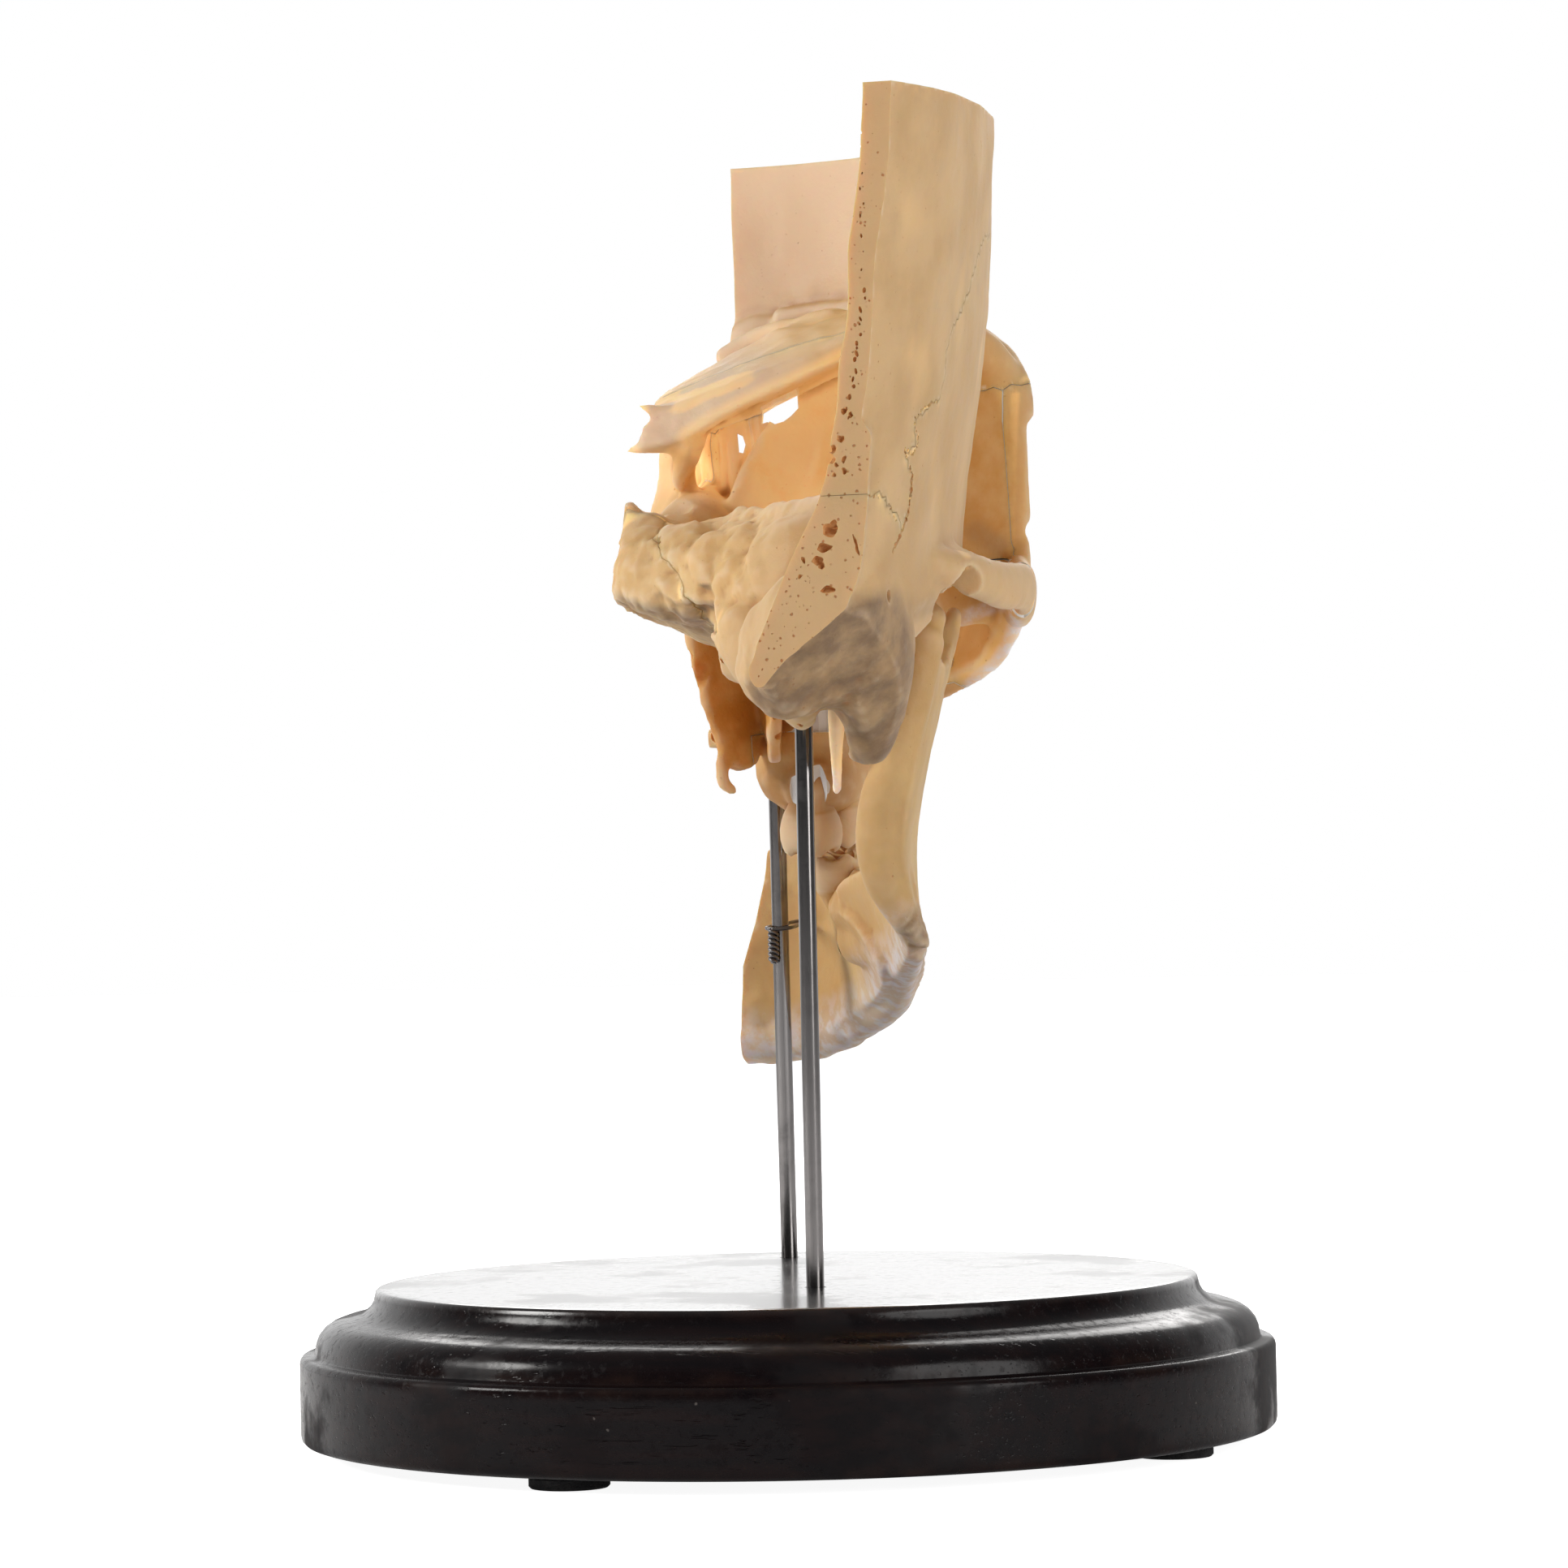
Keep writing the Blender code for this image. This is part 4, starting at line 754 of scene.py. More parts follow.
brokenEdges = (
    (((-5.5, 38, 29), (-5.2, 38, 25), (-5.5, 38, 20)), 2.4, 2.6),          # end of the lesser wing
    (((24, 42, 26.2), (20, 42, 24.8), (16, 42, 25.4), (12, 41, 22)), 0.8, 1.4),   # top of the greater wing
    (((0.5, 32, -8), (2, 34, -20), (3.5, 35, -30)), 1.5, 2.8),            # inner plate
    (((22.5, 28, -7), (19, 31, -20), (16.5, 33, -36)), 1.7, 2.6),         # outer plate
    (((13, 45, -38), (15, 39, -38.5), (16, 34, -37.5)), 1.5, 2.0),
    (((33.5, -36, -15.5), (34.5, -28, -18), (36, -20, -22)), 1.3, 2.0),    # lower border behind the rod
    (((37, 1, -18), (35, 5, -27), (33.5, 9, -36)), 0.8, 1.8),
    (((22, -2, -13), (12, 6, -11), (3, 12, -9), (-4, 15, -8)), 1.3, 2.2),
    (((20, -2, -15), (26, -8, -17), (31, -17, -20)), 2.2, 3.4),           # loose chunk under the pyramid
    (((18.6, -1.5, -6), (20, -3, -10), (21.5, -7, -15)), 1.1, 1.3),
    (((8, 8, -6.6), (13, 4, -6.6), (18, 0, -6.8)), 0.6, 1.5),
    (((-5, 15, 8), (-5.5, 14, 0), (-5, 14, -8)), 2.0, 3.2),               # broken base in front of the opening
    (((-1.5, 46, -1), (-1.5, 60, 3), (-1.5, 80, 3)), 2.0, 3.2),           # nasal walls near the cut
    (((1, 50, -14), (1, 64, -14), (1, 80, -14)), 2.2, 3.4),
    (((-6, 98, 6), (3, 98.5, 5.5), (10.5, 91, 4.5)), 1.6, 2.6),           # tips of the nasal bones
    (((-4, 55, -31), (3, 52.5, -33), (9, 49, -34)), 1.6, 2.8),            # rear of the palate
    (((2, 95.5, 21), (5, 95, 24), (8, 92, 22), (6.5, 92, 18.8), (3, 95, 19)), 1.5, 2.0),   # side of the nose
    (((11, 70, 26.5), (11, 77, 26.5), (11, 79, 22.5), (11, 72, 22)), 1.2, 2.4),
)


def roughen(piece, rules):
    # moves the surface along its normals by layers of noise: size, height and a mask for each layer
    mesh = piece.data
    count = len(mesh.vertices)
    place = np.empty(count * 3)
    mesh.vertices.foreach_get("co", place)
    place = place.reshape(-1, 3) / mm
    normal = np.empty(count * 3)
    mesh.vertex_normals.foreach_get("vector", normal)
    normal = normal.reshape(-1, 3)
    shift = np.zeros(count)
    for size, height, mask, kind in rules:
        weight = mask(place, normal)
        picked = np.nonzero(weight > 0.02)[0]
        for i in picked:
            spot = Vector(place[i]) / size
            value = noise.noise(spot)
            if kind == "ridge":
                value = 0.45 - abs(value) * 1.7
            elif kind == "dome":
                value = 1.0
            elif kind == "streak":
                value = noise.noise(Vector((spot.x, spot.y, spot.z * 0.16)))
            shift[i] += value * height * weight[i]
    place += normal * shift[:, None]
    mesh.vertices.foreach_set("co", (place * mm).ravel())
    mesh.update()
    return piece


def near(centre, radii):
    # a soft mask that is full inside an ellipsoid and gone at its rim
    centre, radii = np.array(centre), np.array(radii)

    def mask(place, normal):
        far = np.linalg.norm((place - centre) / radii, axis=1)
        return np.clip((1.25 - far) / 0.5, 0, 1)
    return mask


def everywhere(place, normal):
    return np.ones(len(place))


def insideVault(place, normal):
    # the inner face of the braincase wall
    away = place - np.array((0, 15, 40))
    away /= np.linalg.norm(away, axis=1)[:, None]
    facing = np.clip(-(away * normal).sum(1) * 2 - 0.4, 0, 1)
    return facing * np.clip((place[:, 2] - 8) / 8, 0, 1)


petrousMask = near((14, 6, 3), (26, 24, 16))
wedgeMask = near((38, -30, -12), (17, 18, 14))
skullRules = (
    # size and height of each layer of relief, in millimetres, where it lies and its kind
    (15.0, 0.4, everywhere, "plain"), (4.0, 0.1, everywhere, "plain"), (1.8, 0.04, everywhere, "plain"),
    (9.0, 0.5, insideVault, "plain"),
    (7.0, 0.8, petrousMask, "plain"), (3.4, 0.75, petrousMask, "plain"), (1.7, 0.3, petrousMask, "plain"),
    (4.5, 0.25, petrousMask, "ridge"),
    (1, 1.0, near((-0.6, 12, 3), (5, 9, 9)), "dome"), (1, 1.5, near((9, 8, 7.6), (4.6, 8, 4.4)), "dome"),
    (1, 1.6, near((20, 3, 5), (6.4, 9, 6)), "dome"), (1, 1.2, near((8.6, 8, -2.4), (7, 8, 4)), "dome"),
    (1, 1.1, near((23.5, -7, -1.4), (5, 8, 5.4)), "dome"), (1, 0.8, near((31, -11, 6), (6, 10, 8)), "dome"),
    (2.2, 0.9, near((4, 49, 14), (11, 9, 17)), "streak"), (3.0, 0.5, near((14, 40, 24), (8, 6, 5)), "plain"),
    (6.5, 0.8, wedgeMask, "plain"), (2.8, 0.35, wedgeMask, "plain"), (1.4, 0.16, wedgeMask, "plain"),
    (3.0, 0.3, near((46, -16, -22), (9, 12, 14)), "plain"),
    (3.4, 0.4, near((-2, 37, 22), (8, 8, 10)), "plain"),
    (3.6, 0.5, near((12, 38, -24), (14, 14, 18)), "plain"),
    (5.0, 0.6, near((22, 66, 40), (30, 26, 9)), "plain"),
    (2.6, 0.3, near((20, 70, -42), (22, 36, 10)), "plain"),
    (3.4, 0.35, near((46, 62, -16), (16, 14, 16)), "plain"), (3.2, 0.6, near((6, 63, -6), (8, 20, 18)), "plain"),
)
jawRules = (
    (13.0, 0.4, everywhere, "plain"), (3.6, 0.12, everywhere, "plain"), (1.7, 0.05, everywhere, "plain"),
    (2.4, 0.3, near((46, 8, -61), (5, 7, 5)), "ridge"), (1.4, 0.16, near((40, 24, -68), (14, 26, 8)), "plain"),
    (2.4, 0.4, near((16, 70, -60), (18, 34, 7)), "plain"),
    (3.2, 0.4, near((12, 76, -94), (30, 22, 8)), "plain"),
)


def sawnStock():
    masses = [
        *vaultShell(), *frontalMasses(), *temporalMasses(), *sphenoidMasses(),
        *zygomaticMasses(), *maxillaMasses(),
    ]
    stock = fused("skull", masses)
    stock = combined(stock, [fused("hollows", skullHollows())], "DIFFERENCE")
    stock = combined(stock, [fused("small", smallHollows(), 1)], "DIFFERENCE")
    stock = fused("skull", [stock], 2)
    roughen(stock, skullRules)
    for opening in (
        sightTunnel(((17.8, 25.3), (18.2, 28.0), (20.6, 29.2), (24.9, 31.0), (24.9, 27.6), (23.4, 26.2), (22.0, 25.3),
                     (20.4, 24.9), (19.0, 25.7)), 33, 99, 0.094),
        sightTunnel(((12.6, 23.2), (13.6, 22.7), (14.0, 21.2), (13.5, 19.7), (12.7, 19.9)), 36, 99, 0.08),
    ):
        combined(stock, [opening], "DIFFERENCE")
    far = 160
    topFront = saw["topRear"] + saw["topSlope"] * (far - saw["rear"])
    topBack = saw["topRear"] - saw["topSlope"] * far
    blocks = (
        prism("z", ((-far, -far), (far, -far), (far, saw["rear"]), (-far, saw["rear"])), -far, far),
        prism("x", ((-far - 46, topBack), (far, topFront), (far, far), (-far - 46, far)), -far, far),
        prism("y", (*saw["middle"], (-far, 90), (-far, -90)), 50, far),
    )
    for block in blocks:
        combined(stock, [block], "DIFFERENCE")
    combined(stock, [fused("nicks", nicks(brokenEdges), 1)], "DIFFERENCE")
    return largest(stock)


# Teeth

toothShape = {"sides": 28, "root": 7.0, "bite": -53.0, "biteGap": 0.6}
upperTeeth = (
    (4.3, 90.3, 8.4, 7.0, 10.5), (11.2, 88.2, 6.6, 6.2, 9.5), (16.6, 83.6, 7.4, 8.0, 10.5),
    (20.0, 77.2, 7.0, 9.2, 8.5), (22.0, 70.4, 6.8, 9.2, 8.0), (22.8, 62.2, 10.2, 11.0, 7.4),
    (21.8, 53.8, 9.6, 11.0, 7.4), (19.0, 45.0, 9.4, 11.0, 8.0),
)
lowerTeeth = (
    (2.9, 86.4, 5.2, 6.0, 9.0), (8.2, 84.7, 5.8, 6.2, 9.2), (13.4, 80.6, 6.8, 7.6, 10.4),
    (17.2, 74.6, 7.0, 7.6, 8.8), (19.8, 68.0, 7.2, 8.0, 8.2), (21.0, 59.6, 11.0, 10.0, 7.6),
    (21.8, 50.6, 10.0, 9.2, 7.0),
)


def tooth(kind, place, forward, width, depth, crown, edge, sign, turn):
    # a crown with its cusps or cutting edge, a neck and a root sunk in the jaw
    root = toothShape["root"]
    sides = toothShape["sides"]
    cusps = {"incisor": 0, "canine": 0, "premolar": 2, "molar": 4}[kind]
    lean = {"incisor": -0.34, "canine": -0.3, "premolar": 0.0, "molar": 0.3}[kind]
    sharp = {"incisor": 0.30, "canine": 0.45, "premolar": 0.86, "molar": 0.92}[kind]
    rows = [
        (0.00, 0.74), (0.03, 0.82), (0.09, 0.90), (0.2, 0.96), (0.4, 1.0), (0.6, 0.98), (0.8, 0.91),
        (0.93, 0.84), (1.0, 0.79), (1.06, 0.76), (1 + 0.5 * root / crown, 0.6), (1 + root / crown, 0.25),
    ]

    def corner(level, size, k):
        angle = math.tau * k / sides
        c, s = math.cos(angle), math.sin(angle)
        boxy = 0.72 if cusps == 4 else 0.9
        x = math.copysign(abs(c) ** boxy, c) * width / 2 * size
        thin = size * (sharp + (1 - sharp) * min(1.0, level * 1.6))
        y = math.copysign(abs(s) ** boxy, s) * depth / 2 * thin + max(0.0, level - 1) * crown * lean
        lift = 0.0
        if level < 0.3:
            fade = 1 - level / 0.3
            if cusps:
                lift = 0.55 * (1 - math.cos(cusps * (angle + (0 if cusps == 2 else math.pi / 4)))) * fade
                if cusps == 2:
                    lift = 0.6 * (1 + math.cos(2 * angle)) * fade
            elif kind == "canine":
                lift = 1.5 * abs(c) * fade
        return x, y, level * crown + lift
    work = bmesh.new()
    pit = 0.13 * crown if cusps else 0.02
    rings = [[(0, 0, pit + (0.5 if cusps else 0.0))]]
    for inner in (0.25, 0.5, 0.72):
        rings.append([
            tuple(Vector(corner(0.0, 0.74 * inner / 0.74, k)) + Vector((0, 0, pit * (1 - inner) ** 1.2)))
            for k in range(sides)])
    rings += [[corner(level, size, k) for k in range(sides)] for level, size in rows]
    rings.append([(0, 0, crown + root)])
    skin(work, rings)
    spin = Matrix.Translation((place, forward, edge)) @ Matrix.Rotation(turn, 4, "Z")
    sway = Matrix.Rotation(math.radians(dice.uniform(-4, 4)), 4, "Y")
    bmesh.ops.transform(work, matrix=spin @ sway @ Matrix.Diagonal((1, 1, sign, 1)), verts=work.verts)
    return fromBmesh("tooth", work)


def teeth(row, edge, sign):
    kinds = ("incisor", "incisor", "canine", "premolar", "premolar", "molar", "molar", "molar")
    made = []
    for i, (kind, size) in enumerate(zip(kinds, row)):
        before = row[i - 1] if i else (-row[0][0], row[0][1])
        after = row[min(i + 1, len(row) - 1)]
        turn = math.atan2(after[1] - before[1], after[0] - before[0])
        made.append(tooth(kind, *size, edge, sign, turn))
        made[-1].data.materials.append(enamel)
    return made


# Pores of the sawn faces, strewn by Geometry Nodes

pores = {"spread": 1.05, "smallest": 0.12, "largest": 0.36, "long": 1.35, "skin": 1.1}


def strewTree(name):
    # small closed grains over the faces of the mesh it is given
    tree = bpy.data.node_groups.new(name, "GeometryNodeTree")
    face = tree.interface
    face.new_socket("Geometry", in_out="INPUT", socket_type="NodeSocketGeometry")
    ids = {}
    for label, kind, value in (
        ("Spacing", "NodeSocketFloat", 0.001), ("Density", "NodeSocketFloat", 200000.0),
        ("Smallest", "NodeSocketFloat", 0.0002), ("Largest", "NodeSocketFloat", 0.0006),
        ("Long", "NodeSocketFloat", 1.5), ("Seed", "NodeSocketInt", 3), ("Skin", "NodeSocketFloat", 0.001),
    ):
        socket = face.new_socket(label, in_out="INPUT", socket_type=kind)
        socket.default_value = value
        ids[label] = socket.identifier
    finish = face.new_socket("Finish", in_out="INPUT", socket_type="NodeSocketMaterial")
    ids["Finish"] = finish.identifier
    face.new_socket("Geometry", in_out="OUTPUT", socket_type="NodeSocketGeometry")
    add = tree.nodes.new
    start, end = add("NodeGroupInput"), add("NodeGroupOutput")
    points = add("GeometryNodeDistributePointsOnFaces")
    points.distribute_method = "POISSON"
    grain = add("GeometryNodeMeshIcoSphere")
    grain.inputs["Subdivisions"].default_value = 2
    grain.inputs["Radius"].default_value = 1.0
    place = add("GeometryNodeInstanceOnPoints")
    size = add("FunctionNodeRandomValue")
    size.data_type = "FLOAT"
    turn = add("FunctionNodeRandomValue")
    turn.data_type = "FLOAT_VECTOR"
    turn.inputs[1].default_value = (math.tau, math.tau, math.tau)
    stretch = add("ShaderNodeCombineXYZ")
    longer = add("ShaderNodeMath")
    longer.operation = "MULTIPLY"
    real, coat = add("GeometryNodeRealizeInstances"), add("GeometryNodeSetMaterial")
    link = tree.links.new
    link(start.outputs["Geometry"], points.inputs["Mesh"])
    link(start.outputs["Spacing"], points.inputs["Distance Min"])
    link(start.outputs["Density"], points.inputs["Density Max"])
    link(start.outputs["Seed"], points.inputs["Seed"])
    # the skins on either side of the spongy middle stay whole
    edges, rim = add("GeometryNodeInputMeshEdgeNeighbors"), add("GeometryNodeSeparateGeometry")
    rim.domain = "EDGE"
    link(start.outputs["Geometry"], rim.inputs["Geometry"])
    link(mathNode(tree, "LESS_THAN", edges.outputs[0], 1.5), rim.inputs["Selection"])
    away, thin = add("GeometryNodeProximity"), add("GeometryNodeDeleteGeometry")
    away.target_element = "EDGES"
    link(rim.outputs["Selection"], away.inputs[0])
    link(points.outputs["Points"], thin.inputs["Geometry"])
    link(mathNode(tree, "LESS_THAN", away.outputs["Distance"], start.outputs["Skin"]), thin.inputs["Selection"])
    link(thin.outputs[0], place.inputs["Points"])
    link(grain.outputs["Mesh"], place.inputs["Instance"])
    link(turn.outputs[0], place.inputs["Rotation"])
    link(start.outputs["Smallest"], size.inputs[2])
    link(start.outputs["Largest"], size.inputs[3])
    link(start.outputs["Seed"], size.inputs["Seed"])
    link(size.outputs[1], longer.inputs[0])
    link(start.outputs["Long"], longer.inputs[1])
    link(size.outputs[1], stretch.inputs["X"])
    link(size.outputs[1], stretch.inputs["Y"])
    link(longer.outputs[0], stretch.inputs["Z"])
    link(stretch.outputs[0], place.inputs["Scale"])
    link(place.outputs["Instances"], real.inputs[0])
    link(real.outputs[0], coat.inputs["Geometry"])
    link(start.outputs["Finish"], coat.inputs["Material"])
    link(coat.outputs[0], end.inputs[0])
    return tree, ids


def sawnFace(piece, test):
    # a mesh of only the faces of a piece that pass the test on centre and normal
    work = bmesh.new()
    work.from_mesh(piece.data)
    out = [f for f in work.faces if not test(f.calc_center_median() / mm, f.normal)]
    bmesh.ops.delete(work, geom=out, context="FACES")
    mesh = bpy.data.meshes.new("face")
    work.to_mesh(mesh)
    work.free()
    return keep("face", mesh)


def porous(piece, test, seed, spread=1.0, size=1.0):
    # opens the spongy middle of a sawn face
    face = sawnFace(piece, test)
    if not face.data.polygons:
        drop([face])
        return piece
    rows = face.modifiers.new("Pores", "NODES")
    rows.node_group = strew[0]
    for label, value in (
        ("Spacing", pores["spread"] * spread * mm), ("Density", 900000.0), ("Skin", pores["skin"] * mm),
        ("Smallest", pores["smallest"] * size * mm), ("Largest", pores["largest"] * size * mm),
        ("Long", pores["long"]), ("Seed", seed), ("Finish", poreFinish),
    ):
        rows[strew[1][label]] = value
    grains = settle(face)
    return combined(piece, [grains], "DIFFERENCE")


# Finishes

def addNode(tree, kind, **values):
    node = tree.nodes.new(kind)
    for key, value in values.items():
        setattr(node, key, value)
    return node


def mixNode(tree, mask, under, over, blend="MIX"):
    # over is laid on under where the mask is 1
    node = addNode(tree, "ShaderNodeMix", data_type="RGBA", blend_type=blend)
    for socket, value in ((node.inputs[0], mask), (node.inputs[6], under), (node.inputs[7], over)):
        if isinstance(value, bpy.types.NodeSocket):
            tree.links.new(value, socket)
        elif isinstance(value, (int, float)):
            socket.default_value = value
        else:
            socket.default_value = (*value, 1)
    return node.outputs[2]


def mathNode(tree, operation, first, second=0.0, clamp=False):
    node = addNode(tree, "ShaderNodeMath", operation=operation, use_clamp=clamp)
    for socket, value in zip(node.inputs, (first, second)):
        if isinstance(value, bpy.types.NodeSocket):
            tree.links.new(value, socket)
        else:
            socket.default_value = value
    return node.outputs[0]


def rampNode(tree, value, low, high):
    node = addNode(tree, "ShaderNodeMapRange", interpolation_type="SMOOTHSTEP")
    tree.links.new(value, node.inputs[0])
    node.inputs[1].default_value, node.inputs[2].default_value = low, high
    return node.outputs[0]


def newGroup(name, inputs, outputs):
    # an effect that several finishes share
    tree = bpy.data.node_groups.new(name, "ShaderNodeTree")
    for label, kind, value in inputs:
        socket = tree.interface.new_socket(label, in_out="INPUT", socket_type=kind)
        if value is not None:
            socket.default_value = value
    for label in outputs:
        tree.interface.new_socket(label, in_out="OUTPUT", socket_type="NodeSocketFloat")
    return tree, tree.nodes.new("NodeGroupInput"), tree.nodes.new("NodeGroupOutput")


def blotchGroup():
    # soft patches: a noise cut between two levels
    tree, start, end = newGroup("blotches", (
        ("Vector", "NodeSocketVector", None), ("Scale", "NodeSocketFloat", 100.0),
        ("Low", "NodeSocketFloat", 0.4), ("High", "NodeSocketFloat", 0.6),
        ("Detail", "NodeSocketFloat", 4.0)), ("Mask",))
    cloud = addNode(tree, "ShaderNodeTexNoise")
    cut = addNode(tree, "ShaderNodeMapRange", interpolation_type="SMOOTHSTEP")
    link = tree.links.new
    link(start.outputs["Vector"], cloud.inputs["Vector"])
    link(start.outputs["Scale"], cloud.inputs["Scale"])
    link(start.outputs["Detail"], cloud.inputs["Detail"])
    cloud.inputs["Roughness"].default_value = 0.6
    link(cloud.outputs["Fac"], cut.inputs[0])
    link(start.outputs["Low"], cut.inputs[1])
    link(start.outputs["High"], cut.inputs[2])
    link(cut.outputs[0], end.inputs["Mask"])
    return tree


def pitGroup():
    # round pits of uneven size: a cell pattern whose cells are partly left out
    tree, start, end = newGroup("pits", (
        ("Vector", "NodeSocketVector", None), ("Scale", "NodeSocketFloat", 1000.0),
        ("Reach", "NodeSocketFloat", 0.3), ("Share", "NodeSocketFloat", 0.5)), ("Mask",))
    link = tree.links.new
    bend = addNode(tree, "ShaderNodeTexNoise")
    bend.inputs["Scale"].default_value = 700
    bend.inputs["Detail"].default_value = 2
    push = addNode(tree, "ShaderNodeVectorMath", operation="MULTIPLY_ADD")
    push.inputs[1].default_value = (0.0006, 0.0006, 0.0006)
    link(start.outputs["Vector"], bend.inputs["Vector"])
    link(bend.outputs["Color"], push.inputs[0])
    link(start.outputs["Vector"], push.inputs[2])
    cells = addNode(tree, "ShaderNodeTexVoronoi")
    link(push.outputs[0], cells.inputs["Vector"])
    link(start.outputs["Scale"], cells.inputs["Scale"])
    split = addNode(tree, "ShaderNodeSeparateColor")
    link(cells.outputs["Color"], split.inputs[0])
    kept = mathNode(tree, "LESS_THAN", split.outputs[0], start.outputs["Share"])
    reach = mathNode(tree, "MULTIPLY", start.outputs["Reach"], split.outputs[1])
    inner = mathNode(tree, "MULTIPLY", reach, 0.5)
    cut = addNode(tree, "ShaderNodeMapRange", interpolation_type="SMOOTHSTEP")
    link(cells.outputs["Distance"], cut.inputs[0])
    link(reach, cut.inputs[1])
    link(inner, cut.inputs[2])
    link(mathNode(tree, "MULTIPLY", kept, cut.outputs[0]), end.inputs["Mask"])
    return tree


def placed(tree, group, vector, **values):
    node = addNode(tree, "ShaderNodeGroup", node_tree=group)
    tree.links.new(vector, node.inputs["Vector"])
    for label, value in values.items():
        node.inputs[label].default_value = value
    return node.outputs["Mask"]


def newFinish(name):
    material = bpy.data.materials.new(name)
    material.use_nodes = True
    tree = material.node_tree
    place = addNode(tree, "ShaderNodeTexCoord").outputs["Object"]
    return material, tree, tree.nodes["Principled BSDF"], place


def layer(tree, name):
    return addNode(tree, "ShaderNodeAttribute", attribute_name=name).outputs["Fac"]


# tones of the bone: amber and ochre paint the glow of light shining through thin bone, deep paints shade in recesses,
# stain is dark brown for stains and for painted shade on undersides, and the pale lilac tone is a painted rim highlight
boneTones = {
    "tan": (0.62, 0.385, 0.175), "pale": (0.71, 0.47, 0.235), "grey": (0.36, 0.27, 0.20),
    "peach": (0.90, 0.69, 0.50), "amber": (0.97, 0.65, 0.27), "ochre": (0.84, 0.43, 0.10),
    "deep": (0.55, 0.23, 0.035), "spongy": (0.62, 0.40, 0.20), "pore": (0.42, 0.13, 0.025),
    "stainAndShade": (0.20, 0.125, 0.075), "worn": (0.84, 0.68, 0.48), "seam": (0.36, 0.17, 0.05),
    "rimSheen": (0.76, 0.73, 0.77),
}
jawTones = dict(boneTones, tan=(0.60, 0.37, 0.15), pale=(0.70, 0.46, 0.20))


